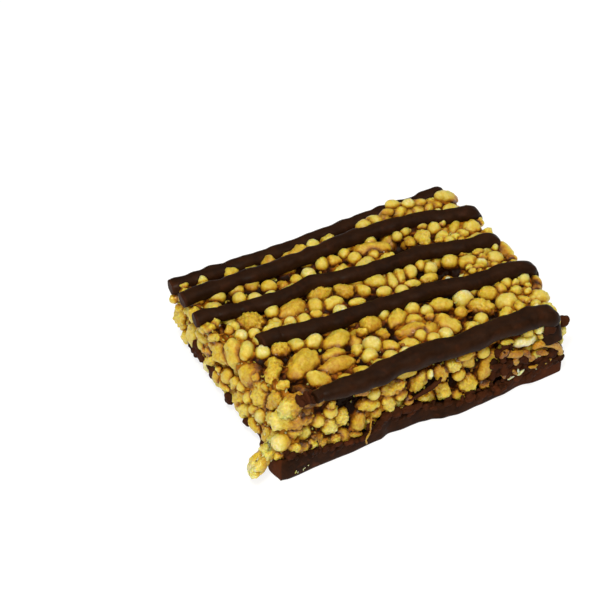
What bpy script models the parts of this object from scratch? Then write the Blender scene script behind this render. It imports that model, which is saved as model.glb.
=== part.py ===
# Half of a crisped-cereal snack bar, broken across its middle and lying flat.
#
# X runs along the bar, with the broken face at -X and the moulded end at +X. Y runs across it, with the
# front side at -Y. Z is up, and the origin is the bottom centre. Everything is in metres.
#
# Two solids: the poured chocolate base with its wavy rim, and the cereal slab on it. The slab is a core
# with the puffed grains that show fused on, and the five chocolate stripes that were piped along its top.

import math
import random

import bmesh
import bpy
import numpy as np
from mathutils import Matrix, Vector, noise

MM = 0.001

# The cereal slab, measured to the outermost grains.
FRONT_Y, BACK_Y = -21.5 * MM, 21.6 * MM
MOULDED_X = 31.6 * MM
TOP_FRONT = (17.8 * MM, 14.4 * MM)  # at the broken face and at the moulded end
TOP_BACK = (15.6 * MM, 15.5 * MM)
EDGE_ROUND, EDGE_DROP = 3.2 * MM, 1.0 * MM  # how far the top falls away along its moulded edges
CORNER_ROUND, BASE_CORNER_ROUND = 4.0 * MM, 2.0 * MM

# The broken face in plan, as (y, x): near the base it bulges, and its top edge runs back at a slant.
BREAK_LOW = [(-21.5, -28.6), (-14.0, -30.5), (4.0, -31.4), (12.0, -30.8), (21.5, -29.8)]
BREAK_TOP = [(-21.5, -25.9), (-3.0, -29.9), (6.0, -31.8), (21.5, -31.4)]
BREAK_LOW_Z, BREAK_TOP_Z = 5.0 * MM, 16.0 * MM

# The chocolate base. Its broken edge is also (y, x). Its front edge is (x, y), and the chocolate stands up
# along it to heights given as (x, z).
BASE_FLOOR = 2.7 * MM
BASE_FRONT_Y, BASE_BACK_Y = -21.6 * MM, 21.4 * MM
BASE_MOULDED_X = 31.0 * MM
BASE_FRONT = [
    (-30.2, -22.2), (-28.5, -22.5), (-22.2, -22.1), (-15.9, -22.0), (-9.3, -21.4), (-7.0, -20.7), (-4.4, -21.0),
    (-0.8, -20.8), (1.5, -21.1), (4.3, -22.0), (7.3, -22.4), (11.8, -22.1), (16.4, -21.8), (21.3, -21.1),
    (24.0, -21.6), (31.0, -21.3),
]
BASE_RIM = [
    (-30.5, 4.9), (-28.2, 5.4), (-24.0, 4.9), (-19.0, 4.0), (-16.0, 3.3), (-12.8, 2.9), (-9.5, 4.6), (-5.5, 4.3),
    (0.9, 4.2), (5.2, 3.5), (11.8, 2.7), (16.1, 3.0), (20.4, 4.3), (24.8, 4.6), (29.0, 5.4),
]
RIM_REACH = 7.0 * MM  # how far in from the front edge those heights still count
BASE_BREAK = [(-21.6, -30.3), (-17.0, -28.7), (0.0, -28.8), (9.0, -29.1), (15.0, -28.6), (21.4, -28.0)]
BASE_CELLS_X, BASE_CELLS_Y = 22, 15
BASE_RIPPLE = 0.45 * MM
RIM_WAVE = 0.9 * MM
# Where the chocolate climbs the side, as (x, y, how high above the floor, how far it reaches).
RIM_CLIMBS = [
    (31.0, -18.0, 3.0, 8.0),
    (-29.0, 14.0, 2.2, 6.0),
    (12.0, 21.4, 1.6, 14.0),
    (31.0, 8.0, 1.4, 10.0),
]
CLEARANCE = 0.35 * MM  # between the base and the slab
FLAT_ANGLE = math.radians(0.1)  # faces closer to one plane than this are merged

# From the middle of the block, in which the lengths here are measured, to the middle of the whole part's box.
ORIGIN = Vector((-0.8, 0.1, 0.0)) * MM

# The puffed grains: small round crisps, and larger oval ones.
GRAIN_SEED = 5
ROUND_COUNT, OVAL_COUNT = 270, 290
ROUND_RADIUS = (1.30 * MM, 1.75 * MM)
OVAL_RADIUS = (1.65 * MM, 2.10 * MM)
OVAL_STRETCH = (0.80 * MM, 1.60 * MM)  # half of what an oval's length has over its width
OVAL_FLATNESS = 0.90
PACK_CLOSENESS = 0.97  # grains are stuck together, so they touch and dent each other a little
PACK_STEPS, PAIR_REFRESH = 90, 6
PAIR_MARGIN = 1.2 * MM
LOOSENESS, BREAK_LOOSENESS = 0.5 * MM, 1.2 * MM  # how unevenly grains stand at the pressed and broken faces
GRAIN_FACET = 1.05  # a grain's corners stand this much outside its true surface
# Grains that a break left standing out, as (x, y, z, radius, stretch).
STRAY_GRAINS = [
    (-29.4, -18.7, 6.6, 2.2, 0.8),
    (-31.6, -19.2, 5.3, 2.0, 0.8),
    (-33.6, -19.8, 3.9, 1.7, 0.4),
    (-26.6, -19.0, 14.6, 2.0, 0.8),
    (31.6, -18.2, 10.2, 1.2, 0.4),
]
# Grains that stand in known places, as (x, y, z, radius, stretch, heading, climb). The last two turn the long
# side, in degrees from X and from the ground. The others are packed in around them.
SET_GRAINS = [
    (-30.5, 6.6, 14.6, 1.2, 2, -90, 41), (-30.4, 20.3, 11.5, 1.2, 0.2, 0, 2),
    (-30.4, 3.8, 14.6, 1, 1.6, -90, 38), (-30.3, 0, 5.4, 0.9, 0.9, -90, 6),
    (-30.1, 5.3, 7.5, 1.3, 0.6, -90, 39), (-29.5, -3, 8.3, 1.2, 0.4, -90, 67),
    (-29.4, -0, 7.5, 1.6, 0.5, -90, 61), (-29.3, 19.2, 8.1, 2, 1.4, 0, 79), (-29.3, -4.6, 5.4, 1.6, 2, -90, 74),
    (-29.2, -10.5, 4.1, 1.3, 0.8, -90, 6), (-29.2, -14.7, 4.4, 1.2, 2, -90, 70),
    (-29, -9.7, 7.1, 1.2, 0.5, -90, 40), (-28.7, 14.9, 14.4, 1.4, 0.4, -28, 0),
    (-28.7, 2.9, 11.9, 2.5, 1.9, -90, 5), (-28.6, -11.7, 6.8, 1.5, 0.4, -90, 62),
    (-27.6, 2.9, 15.4, 1, 0, 0, 0), (-27.6, -6, 12.1, 2.4, 0.8, -90, 5),
    (-27.2, -9.9, 10.5, 2.4, 0.9, -90, -58), (-27, -2.8, 15, 1.6, 0.7, 60, 0),
    (-26.4, -13.4, 11.1, 2, 2.5, -107, 54), (-26.3, -19.1, 11.9, 2.4, 2.2, 0, -11),
    (-26.1, -15.2, 16.1, 1, 0.2, -28, 0), (-25.7, -10.5, 15.5, 1.4, 1.6, 52, 0),
    (-25, 13.9, 14.4, 1.4, 0.5, -28, 0), (-24.6, -20.4, 5.2, 1.1, 0.9, 0, -34),
    (-22.3, 4.5, 13.4, 2.8, 0.2, -84, 0), (-21.7, -20.3, 5.6, 1.2, 0.7, 0, -42),
    (-21.6, -5.5, 14.9, 1.7, 0.3, 0, 0), (-20.8, 14, 14.4, 1.4, 0.2, -28, 0), (-20.2, 0.3, 15.3, 1, 1, 1, 0),
    (-19.6, -10.3, 13.9, 2.8, 1.5, 28, 0), (-19.4, -20.3, 3.7, 1.2, 0.2, 0, -25),
    (-19.2, -20.5, 13.1, 1, 0, 0, 0), (-19.1, -19.7, 7.4, 1.8, 0, 0, 0), (-17.8, 5, 14.6, 1.5, 0, 0, 0),
    (-17.7, 14.3, 14.2, 1.6, 0.4, -28, 0), (-16.9, -19.8, 8.5, 1.7, 0.3, 0, -75),
    (-16.6, -19.8, 3.6, 1.7, 0.3, 0, -59), (-14.9, -6.2, 14.8, 1.6, 0.3, 13, 0),
    (-14.9, 11.8, 14.4, 1.4, 0.2, -28, 0), (-14.5, -20.8, 3.7, 0.7, 1, 0, -19),
    (-14.4, -14, 14.7, 1.9, 1.9, 0, 0), (-14.1, 4, 13.8, 2.2, 1.3, 16, 0), (-13.2, -19.9, 5.9, 1.6, 1, 0, 80),
    (-13, -20.5, 13.6, 1, 1, 0, -13), (-11.1, -7.6, 14.1, 2.2, 1, 23, 0), (-11.1, 0.1, 15.1, 0.9, 0.3, -28, 0),
    (-11.1, -19.8, 9.1, 1.7, 0.7, 0, -13), (-9.8, 14.9, 14.3, 1.4, 0.6, -13, 0),
    (-9.3, -12.3, 15.1, 1.2, 0, 0, 0), (-7.1, 6, 13.6, 2.2, 0.6, 7, 0), (-7.1, -20.1, 7.8, 1.4, 1.4, 0, -81),
    (-6.5, 1.7, 14.5, 1.4, 0.8, 1, 0), (-6.1, -8.4, 15.1, 1, 0.2, -28, 0), (-6.1, -19.7, 11.1, 1.8, 1.2, 0, -7),
    (-5.8, -11.6, 14.3, 1.9, 0, 0, 0), (-5.2, 15.2, 14.2, 1.4, 0.2, -28, 0),
    (-4.7, -20.3, 9.2, 1.2, 0.9, 0, -80), (-3.2, -6.3, 14, 2, 0.3, 0, 0), (-3.1, -13.9, 14.7, 1.4, 0.5, -57, 0),
    (-3, -20.4, 6.8, 1.1, 0, 0, 0), (-2.8, 4.1, 14.2, 1.6, 0.6, -28, 0), (-2.8, 13.1, 14.3, 1.3, 0.3, 41, 0),
    (-2.7, -10.5, 14.8, 1.2, 0, 0, 0), (-2.6, -0.3, 14.9, 0.9, 0.8, -13, 0),
    (-0.6, 12.8, 14.2, 1.4, 0.2, -28, 0), (-0.4, -19.7, 10.1, 1.8, 0.8, 0, 60),
    (0.2, 2.6, 14.3, 1.4, 0.4, -57, 0), (0.3, -20.6, 6.2, 0.9, 0.3, 0, -1), (1.2, -20.8, 11.7, 0.7, 0.4, 0, 83),
    (2, -7.3, 14, 1.8, 0.8, 43, 0), (2.3, 13.7, 14.3, 1.2, 0, 0, 0), (3.5, 0.3, 14.4, 1.2, 0.4, -13, 0),
    (3.7, -11.7, 13.8, 2, 2.4, -13, 0), (3.8, 3.9, 14.1, 1.5, 0.9, -23, 0),
    (3.9, -19.9, 10.6, 1.6, 0.7, 0, -60), (4.6, -19.9, 5.5, 1.6, 1.1, 0, -60),
    (6.4, 2.3, 14.6, 1, 1.2, -103, 0), (6.4, -20, 11.4, 1.5, 0.5, 0, -40), (7.3, -10.2, 14.6, 1, 0.2, 12, 0),
    (7.6, -20.5, 3.6, 1, 1.1, 0, -33), (7.9, 12.7, 13.9, 1.6, 2.3, -20, 0), (8.4, 3.1, 14.1, 1.4, 0.7, -106, 0),
    (8.9, -20.7, 12.8, 0.8, 1.2, 0, 0), (9.2, -0.3, 14.6, 0.9, 0.8, -20, 0), (9.6, -12.3, 13.5, 2, 1.1, -60, 0),
    (10, -19.5, 4.6, 2, 0.5, 0, -66), (11, 3.5, 14, 1.4, 0.3, 53, 0), (11.3, -7.5, 13.8, 1.6, 0.9, -16, 0),
    (13, -0.2, 14.3, 1.1, 0.7, -6, 0), (13.1, -15.8, 14.3, 1, 0.6, 6, 0), (13.4, -11.2, 14, 1.3, 0, 0, 0),
    (13.6, 3.9, 14.2, 1.2, 0, 0, 0), (13.6, -20.3, 3.6, 1.2, 0.5, 0, -24), (13.9, 13.5, 14.3, 1.1, 0, 0, 0),
    (14.1, -19.7, 7.8, 1.8, 1.9, 0, 70), (14.9, 2.5, 14, 1.4, 0, 0, 0), (15.2, 10.8, 14.2, 1.2, 0, 0, 0),
    (15.2, 19.2, 15.7, 1, 0.7, 0, -21), (16, 14.5, 14.2, 1.2, 0, 0, 0), (16.1, -7.6, 13.4, 1.9, 0.2, -28, 0),
    (16.9, 20.6, 15.9, 1.2, 0.5, 0, -21), (17.7, -20.7, 12.5, 0.8, 0.9, 0, -23),
    (17.9, -11.2, 13.5, 1.7, 0.9, -46, 0), (18.4, 11.2, 13.9, 1.4, 1, -100, 0),
    (19.5, 2.8, 13.6, 1.6, 0.2, -28, 0), (19.7, 14.2, 14.3, 1.1, 0.2, -28, 0),
    (20, 19.6, 15.8, 1.1, 0.5, 0, -21), (20.6, 8.5, 14.6, 0.7, 0.5, -6, 0),
    (20.8, -19.9, 7.4, 1.6, 1.2, 0, -46), (21.1, -8.4, 13.5, 1.6, 0.4, -20, 0),
    (21.7, 12.7, 13.8, 1.5, 0, 0, 0), (21.7, -20.1, 10.9, 1.4, 1.4, 0, -3), (22.3, 1.2, 13.6, 1.6, 0.4, -20, 0),
    (22.5, 19.2, 15.2, 1.1, 0.6, 0, -21), (23.1, -1.7, 14.4, 0.7, 0.6, -13, 0),
    (23.3, -11.7, 12.8, 2.1, 0.2, -28, 0), (23.7, -8.8, 13.8, 1.2, 0, 0, 0),
    (25.2, 2.4, 14.2, 0.9, 0.3, -28, 0), (25.3, 11, 13.9, 1.3, 0.8, 46, 0), (25.5, -7.7, 13.7, 1.2, 0, 0, 0),
    (25.5, 17.9, 14.5, 0.9, 0.4, 0, -21), (26.1, -10.3, 13.6, 1.2, 0.2, -28, 0),
    (26.2, -13.7, 13.8, 1, 0.2, -28, 0), (27.6, -0.1, 13.4, 1.6, 0.2, -28, 0),
    (28.1, -19.1, 4.6, 2.4, 0.8, 0, -52), (28.3, 9.7, 13.5, 1.7, 0.6, 1, 0),
    (28.4, 19.3, 14.3, 1.6, 1.6, 0, -33), (29.2, -7.6, 13.1, 1.5, 0.3, 45, 0),
    (29.4, -13.1, 12.4, 2, 0.2, 11, 0), (30.6, -1.4, 13.2, 0.9, 0.3, -28, 0), (31, 2.1, 12.4, 1.6, 1.1, -75, 0),
    (31, 11, 13.3, 1, 0, 0, 0), (31.5, -9, 12.5, 1.2, 0.8, -101, 0),
]
LEAST_MODELLED = 1.25 * MM  # smaller grains only take up room
CORE_INSET = 1.9 * MM
SHOWN_DEPTH = 0.5 * MM  # a grain whose skin comes this near to an outer face is modelled
COVERED_SHARE = 0.75  # a grain whose middle lies within this share of a stripe's radius is left out
CORE_CELLS = (6, 4, 2)

# The chocolate stripes, piped along the top: (x, y) along each one, its radius, how far its end runs down
# the moulded end, and how much higher than usual it lies, as (x, height).
STRIPE_STEP = 4.2 * MM
STRIPE_SIDES = 2  # bevel resolution, which gives 8 sides
STRIPES = [
    dict(
        path=[(-31.0, 21.0), (-12.0, 20.8), (12.0, 22.2), (17.1, 22.4), (20.8, 21.6), (27.2, 21.2)],
        radius=1.45, curl=2.0, lift=[(-31.0, -0.4), (12.0, -1.0), (17.0, -0.5), (23.0, -0.3), (27.2, 0.2)],
    ),
    dict(
        path=[(-31.4, 15.0), (-8.0, 15.2), (8.0, 16.4), (14.8, 16.0), (20.1, 15.4), (25.8, 13.6), (30.1, 12.9)],
        radius=1.5, curl=2.8, lift=[(-31.4, 0.0)],
    ),
    dict(
        path=[
            (-31.9, 8.4), (-29.0, 8.2), (-25.3, 7.4), (-19.3, 7.0), (-15.3, 6.5), (-10.8, 7.0), (-6.2, 8.1),
            (-2.3, 6.9), (1.6, 6.2), (8.0, 5.9), (10.5, 6.4), (16.7, 5.9), (24.6, 4.2), (29.4, 4.2),
        ],
        radius=1.45, curl=2.6, lift=[(-31.9, 0.0)],
    ),
    dict(
        path=[
            (-24.3, -3.0), (-20.2, -2.9), (-14.4, -3.7), (-8.3, -4.0), (-1.9, -3.9), (4.5, -3.9), (12.9, -4.3),
            (17.0, -5.4), (25.4, -5.6), (31.0, -5.8),
        ],
        radius=1.6, curl=3.2, lift=[(-24.3, 0.0)],
    ),
    dict(
        path=[
            (-22.4, -20.9), (-17.4, -20.5), (-9.2, -20.4), (-4.6, -19.8), (4.0, -19.4), (8.0, -20.0),
            (14.6, -19.6), (21.0, -19.7), (25.4, -20.3),
        ],
        radius=2.1, curl=4.2, lift=[(-22.4, 0.5)],
    ),
    dict(path=[(-26.2, -20.6), (-23.5, -20.8)], radius=1.85, curl=0.0, lift=[(-26.2, 0.5)]),
]
STRIPE_SINK = 0.3  # share of its radius that a stripe's middle lies below the grain tops
STRIPE_WAVE = 0.35 * MM


def clear_scene():
    for obj in list(bpy.data.objects):
        bpy.data.objects.remove(obj)


def mix(a, b, t):
    return a + (b - a) * t


def clamped(t):
    return min(max(t, 0.0), 1.0)


def smooth(t):
    t = clamped(t)
    return t * t * (3 - 2 * t)


def along_points(points, place):
    """The second number of points at a value of the first, eased from one point to the next."""
    for (near, low), (far, high) in zip(points, points[1:]):
        if place <= far:
            return mix(low, high, smooth((place - near) / (far - near)))
    return points[-1][1]


# ---- the block's faces, as functions of place ----


def top_height(x, y):
    """Height of the grain tops over the table. The moulded edges are rounded off."""
    along = clamped((x + MOULDED_X) / (2 * MOULDED_X))
    across = clamped((y - FRONT_Y) / (BACK_Y - FRONT_Y))
    edge = min(y - FRONT_Y, BACK_Y - y, MOULDED_X - x)
    fall = 1 - smooth(edge / EDGE_ROUND)
    return mix(mix(*TOP_FRONT, along), mix(*TOP_BACK, along), across) - EDGE_DROP * fall


def break_x(y, z):
    """X of the broken face at a place on it."""
    low = along_points(BREAK_LOW, y / MM) * MM
    top = along_points(BREAK_TOP, y / MM) * MM
    return mix(low, top, clamped((z - BREAK_LOW_Z) / (BREAK_TOP_Z - BREAK_LOW_Z)))


def inside_corners(x, y, room, moulded_x, back_y, rounding=CORNER_ROUND):
    """Moves a point in from the two rounded corners of the moulded end, with room to spare."""
    corner_x = moulded_x - rounding
    corner_y = math.copysign(back_y - rounding, y)
    over_x, over_y = x - corner_x, y - corner_y
    out = math.hypot(over_x, over_y)
    limit = max(rounding - room, 0.1 * rounding)
    if over_x <= 0 or over_y * corner_y <= 0 or out <= limit:
        return x, y
    return corner_x + over_x * limit / out, corner_y + over_y * limit / out


# ---- the grains ----


def random_grains(rng):
    """Balls at random places in the block. An oval grain is two balls on a rod."""
    balls, rods = [], []
    for number in range(ROUND_COUNT + OVAL_COUNT):
        oval = number < OVAL_COUNT
        radius = rng.uniform(*(OVAL_RADIUS if oval else ROUND_RADIUS))
        y, z = rng.uniform(FRONT_Y, BACK_Y), rng.uniform(BASE_FLOOR, TOP_BACK[1])
        centre = Vector((rng.uniform(break_x(y, z), MOULDED_X), y, z))
        half = rng.uniform(*OVAL_STRETCH) if oval else 0.0
        aim = Vector([rng.uniform(-1, 1) for _ in range(3)]).normalized() * half
        slack = rng.uniform(0, LOOSENESS), rng.uniform(-0.4, 1.0) * BREAK_LOOSENESS
        if oval:
            rods.append((len(balls), len(balls) + 1, 2 * half))
        for side in (1, -1) if oval else (0,):
            place = centre + aim * side
            balls.append([round(c, 9) for c in place] + [radius, number, *slack])
    return balls, rods


def aim_of(heading, climb):
    heading, climb = math.radians(heading), math.radians(climb)
    return Vector((math.cos(heading) * math.cos(climb), math.sin(heading) * math.cos(climb), math.sin(climb)))


def set_balls():
    """The grains that stand in known places, as balls that aren't moved."""
    balls = []
    for number, (x, y, z, radius, stretch, heading, climb) in enumerate(SET_GRAINS, ROUND_COUNT + OVAL_COUNT):
        aim = aim_of(heading, climb) * stretch
        for side in (1, -1) if stretch else (0,):
            place = (Vector((x, y, z)) + aim * side) * MM
            balls.append([round(c, 9) for c in place] + [radius * MM, number, 0.0, 0.0])
    return balls


def length_of(steps):
    return np.sqrt(steps[:, 0] ** 2 + steps[:, 1] ** 2 + steps[:, 2] ** 2) + 1e-12


def near_pairs(balls):
    """Pairs of balls of different grains that are close enough to touch soon."""
    first, second = np.triu_indices(len(balls), 1)
    apart = length_of(balls[first, :3] - balls[second, :3])
    reach = balls[first, 3] + balls[second, 3] + PAIR_MARGIN
    keep = (apart < reach) & (balls[first, 4] != balls[second, 4])
    return first[keep], second[keep]


def push_apart(balls, first, second):
    steps = balls[second, :3] - balls[first, :3]
    apart = length_of(steps)
    overlap = PACK_CLOSENESS * (balls[first, 3] + balls[second, 3]) - apart
    share = np.where(overlap > 0, 0.35 * overlap / apart, 0.0)
    for axis in range(3):
        push = share * steps[:, axis]
        balls[:, axis] += np.bincount(second, push, len(balls))
        balls[:, axis] -= np.bincount(first, push, len(balls))


def hold_rods(balls, rods):
    for a, b, length in rods:
        step = balls[b, :3] - balls[a, :3]
        apart = math.sqrt(step[0] ** 2 + step[1] ** 2 + step[2] ** 2) + 1e-12
        fix = 0.5 * (apart - length) / apart
        balls[a, :3] += fix * step
        balls[b, :3] -= fix * step


def press_in(balls):
    """Keeps each ball inside the block's faces."""
    for ball in balls:
        radius, slack, break_slack = ball[3], ball[5], ball[6]
        room = radius + slack
        y = min(max(ball[1], FRONT_Y + room), BACK_Y - room)
        z = max(ball[2], BASE_FLOOR + 0.5 * radius)
        x = max(min(ball[0], MOULDED_X - room), break_x(y, z) + radius + break_slack)
        x, y = inside_corners(x, y, room, MOULDED_X, BACK_Y)
        ball[:3] = x, y, min(z, top_height(x, y) - room)


def packed_grains():
    """Shakes the grains down until they fill the block. Returns dicts of centre, axis, radius and stretch."""
    loose, rods = random_grains(random.Random(GRAIN_SEED))
    balls = np.array(loose + set_balls())
    held = balls[len(loose):, :3].copy()
    for step in range(PACK_STEPS):
        if step % PAIR_REFRESH == 0:
            first, second = near_pairs(balls)
        push_apart(balls, first, second)
        hold_rods(balls, rods)
        press_in(balls)
        balls[len(loose):, :3] = held
    ends = {}
    for ball in balls:
        ends.setdefault(int(ball[4]), []).append(ball)
    return [grain_between(group[0], group[-1], number) for number, group in sorted(ends.items())]


def grain_between(one, other, number):
    a, b = Vector(one[:3]), Vector(other[:3])
    axis = (a - b).normalized() if a != b else Vector((0, 0, 1))
    known = number >= ROUND_COUNT + OVAL_COUNT
    return dict(centre=(a + b) / 2, axis=axis, radius=one[3], stretch=(a - b).length / 2, known=known)


def modelled(grain):
    """Whether a grain shows: a known one does unless it is tiny, and another if it reaches an outer face."""
    if grain["known"]:
        return grain["radius"] > LEAST_MODELLED
    return depth_of(grain) < SHOWN_DEPTH and not under_stripe(grain)


def stray_grains():
    grains = []
    for x, y, z, radius, stretch in STRAY_GRAINS:
        centre = Vector((x, y, z)) * MM
        axis = Vector((1, 0.3, 0.6)).normalized()
        grains.append(dict(centre=centre, axis=axis, radius=radius * MM, stretch=stretch * MM))
    return grains


def depth_of(grain):
    """How far the grain's skin lies inside the nearest face that shows."""
    x, y, z = grain["centre"]
    reach = [grain["radius"] + abs(grain["axis"][axis]) * grain["stretch"] for axis in range(3)]
    return min(
        top_height(x, y) - z - reach[2],
        x - break_x(y, z) - reach[0],
        MOULDED_X - x - reach[0],
        y - FRONT_Y - reach[1],
        BACK_Y - y - reach[1],
    )


def under_stripe(grain):
    """Whether a stripe covers the grain, so that little of it would show."""
    x, y, z = grain["centre"]
    if z < top_height(x, y) - 2.5 * MM:
        return False
    for stripe in STRIPES:
        inside = stripe["path"][0][0] < x / MM < stripe["path"][-1][0]
        if inside and abs(along_points(stripe["path"], x / MM) - y / MM) < COVERED_SHARE * stripe["radius"]:
            return True
    return False


def unit_grain():
    mesh = bpy.data.meshes.new("grain")
    bm = bmesh.new()
    bmesh.ops.create_icosphere(bm, subdivisions=1, radius=GRAIN_FACET)
    bm.to_mesh(mesh)
    bm.free()
    return mesh


def add_grain(grain, number, mesh, home):
    """One grain: an icosahedron drawn out along its axis, turned by its number so that no two match."""
    long_side = grain["radius"] + grain["stretch"]
    size = Matrix.Diagonal((grain["radius"], grain["radius"] * OVAL_FLATNESS, long_side, 1))
    aim = grain["axis"].to_track_quat("Z", "Y").to_matrix().to_4x4()
    spin = Matrix.Rotation(2.4 * number, 4, "Z")
    obj = bpy.data.objects.new(f"grain_{number:03d}", mesh)
    obj.matrix_world = Matrix.Translation(grain["centre"]) @ aim @ spin @ size
    home.objects.link(obj)


# ---- the slab ----


def cells_cube(name, cells, place_of):
    """A cube primitive cut into cells, with each point moved to place_of(u, v, w)."""
    bm = bmesh.new()
    bmesh.ops.create_cube(bm, size=1.0, matrix=Matrix.Translation((0.5, 0.5, 0.5)))
    for axis, count in enumerate(cells):
        normal = [float(axis == n) for n in range(3)]
        for step in range(1, count):
            geometry = bm.verts[:] + bm.edges[:] + bm.faces[:]
            place = [step / count] * 3
            bmesh.ops.bisect_plane(bm, geom=geometry, dist=1e-6, plane_co=place, plane_no=normal)
    bmesh.ops.triangulate(bm, faces=bm.faces)
    for vert in bm.verts:
        vert.co = place_of(*vert.co)
    bm.normal_update()
    bmesh.ops.dissolve_limit(bm, angle_limit=FLAT_ANGLE, verts=bm.verts, edges=bm.edges)
    mesh = bpy.data.meshes.new(name)
    bm.to_mesh(mesh)
    bm.free()
    return mesh


def core_point(u, v, w):
    """A point of the core, which lies inside the block's faces by CORE_INSET."""
    bottom = BASE_FLOOR - CLEARANCE
    y = mix(FRONT_Y + CORE_INSET, BACK_Y - CORE_INSET, v)
    near_end = mix(break_x(y, mix(bottom, BREAK_TOP_Z, w)) + CORE_INSET, MOULDED_X - CORE_INSET, u)
    x, y = inside_corners(near_end, y, CORE_INSET, MOULDED_X, BACK_Y)
    return Vector((x, y, mix(bottom, top_height(x, y) - CORE_INSET, w)))


def volume_of(shell):
    corners = [[vert.co for vert in face.verts] for face in shell]
    return sum(a.dot(b.cross(c)) for a, b, c in corners) / 6


def keep_largest_shell(mesh):
    """Drops scraps that came loose, and fills the hollows that the union sealed."""
    bm = bmesh.new()
    bm.from_mesh(mesh)
    bmesh.ops.triangulate(bm, faces=bm.faces)
    seen, shells = set(), []
    for start in bm.faces:
        if start in seen:
            continue
        seen.add(start)
        shell, waiting = [], [start]
        while waiting:
            face = waiting.pop()
            shell.append(face)
            for other in {other for edge in face.edges for other in edge.link_faces} - seen:
                seen.add(other)
                waiting.append(other)
        shells.append(shell)
    shells.sort(key=volume_of)
    for shell in shells[:-1]:
        bmesh.ops.delete(bm, geom=shell, context="FACES")
    bm.to_mesh(mesh)
    bm.free()


def boolean(obj, operation, **target):
    """Applies one Boolean. The pieces are many and small, where the exact solver is slow."""
    modifier = obj.modifiers.new(operation.lower(), "BOOLEAN")
    modifier.operation = operation
    modifier.solver = "MANIFOLD"
    for name, value in target.items():
        setattr(modifier, name, value)
    graph = bpy.context.evaluated_depsgraph_get()
    made = bpy.data.meshes.new_from_object(obj.evaluated_get(graph))
    obj.modifiers.clear()
    obj.data = made


def add_slab(home, helpers):
    slab = bpy.data.objects.new("cereal_slab", cells_cube("cereal_slab", CORE_CELLS, core_point))
    home.objects.link(slab)
    joined = bpy.data.collections.new("joined")
    helpers.children.link(joined)
    grain_mesh = unit_grain()
    shown = [grain for grain in packed_grains() if modelled(grain)] + stray_grains()
    for number, grain in enumerate(shown):
        add_grain(grain, number, grain_mesh, joined)
    for number, stripe in enumerate(STRIPES):
        add_stripe(stripe, number, joined)
    boolean(slab, "UNION", operand_type="COLLECTION", collection=joined)
    for obj in list(joined.objects):
        bpy.data.objects.remove(obj)
    for cutter in base_cutters(helpers):
        boolean(slab, "DIFFERENCE", object=cutter)
    keep_largest_shell(slab.data)
    slab.data.materials.append(material("puffed_cereal", (0.60, 0.40, 0.08), 0.45))
    print("grains modelled:", len(shown), "slab triangles:", len(slab.data.polygons))


# ---- the stripes ----


def stripe_points(stripe, number):
    """The middle line: along the top with small waves, then over the moulded edge and down."""
    radius, curl = stripe["radius"] * MM, stripe["curl"] * MM
    start, end = stripe["path"][0][0], stripe["path"][-1][0]
    count = max(2, round((end - start) * MM / STRIPE_STEP))
    points = []
    for step in range(count + 1):
        along = mix(start, end, step / count)
        x, y = along * MM, along_points(stripe["path"], along) * MM
        wave = STRIPE_WAVE * noise.noise(Vector((x / (6 * MM), 3.7 * number, 5.0)))
        lift = along_points(stripe["lift"], along) * MM
        top = top_height(min(x, MOULDED_X - 2 * MM), y)
        points.append(Vector((x, y, top - STRIPE_SINK * radius + wave + lift)))
    if curl:
        over = points[-1]
        points.append(over + Vector((0.5 * radius, -0.05 * curl, -0.4 * curl)))
        points.append(over + Vector((0.6 * radius, -0.3 * curl, -curl)))
    return points


def add_stripe(stripe, number, home):
    """A piped stripe, as a bevelled curve made into a closed mesh."""
    curve = bpy.data.curves.new(f"stripe_{number}", "CURVE")
    curve.dimensions = "3D"
    curve.bevel_depth = stripe["radius"] * MM
    curve.bevel_resolution = STRIPE_SIDES
    curve.use_fill_caps = True
    points = stripe_points(stripe, number)
    spline = curve.splines.new("POLY")
    spline.points.add(len(points) - 1)
    for point, place in zip(spline.points, points):
        point.co = (*place, 1.0)
    guide = bpy.data.objects.new(f"stripe_guide_{number}", curve)
    bpy.context.scene.collection.objects.link(guide)
    graph = bpy.context.evaluated_depsgraph_get()
    mesh = bpy.data.meshes.new_from_object(guide.evaluated_get(graph))
    bpy.data.objects.remove(guide)
    bm = bmesh.new()
    bm.from_mesh(mesh)
    bmesh.ops.remove_doubles(bm, verts=bm.verts, dist=0.01 * MM)
    bmesh.ops.recalc_face_normals(bm, faces=bm.faces)
    bm.to_mesh(mesh)
    bm.free()
    home.objects.link(bpy.data.objects.new(f"stripe_{number}", mesh))


# ---- the chocolate base ----


def rim_rise(x, y):
    """How far the chocolate stands above the floor at the edge. Along the front it follows BASE_RIM."""
    wave = noise.noise(Vector((x, y, 0)) / (7 * MM)) + 0.5 * noise.noise(Vector((x, y, 9 * MM)) / (3.2 * MM))
    rise = RIM_WAVE * wave
    for centre_x, centre_y, height, reach in RIM_CLIMBS:
        away = math.hypot(x / MM - centre_x, y / MM - centre_y) / reach
        rise += height * MM * (1 - smooth(away))
    front = 1 - smooth((y - BASE_FRONT_Y) / RIM_REACH)
    rise = mix(rise, along_points(BASE_RIM, x / MM) * MM - BASE_FLOOR, front)
    return max(rise, -0.4 * BASE_FLOOR)


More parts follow.
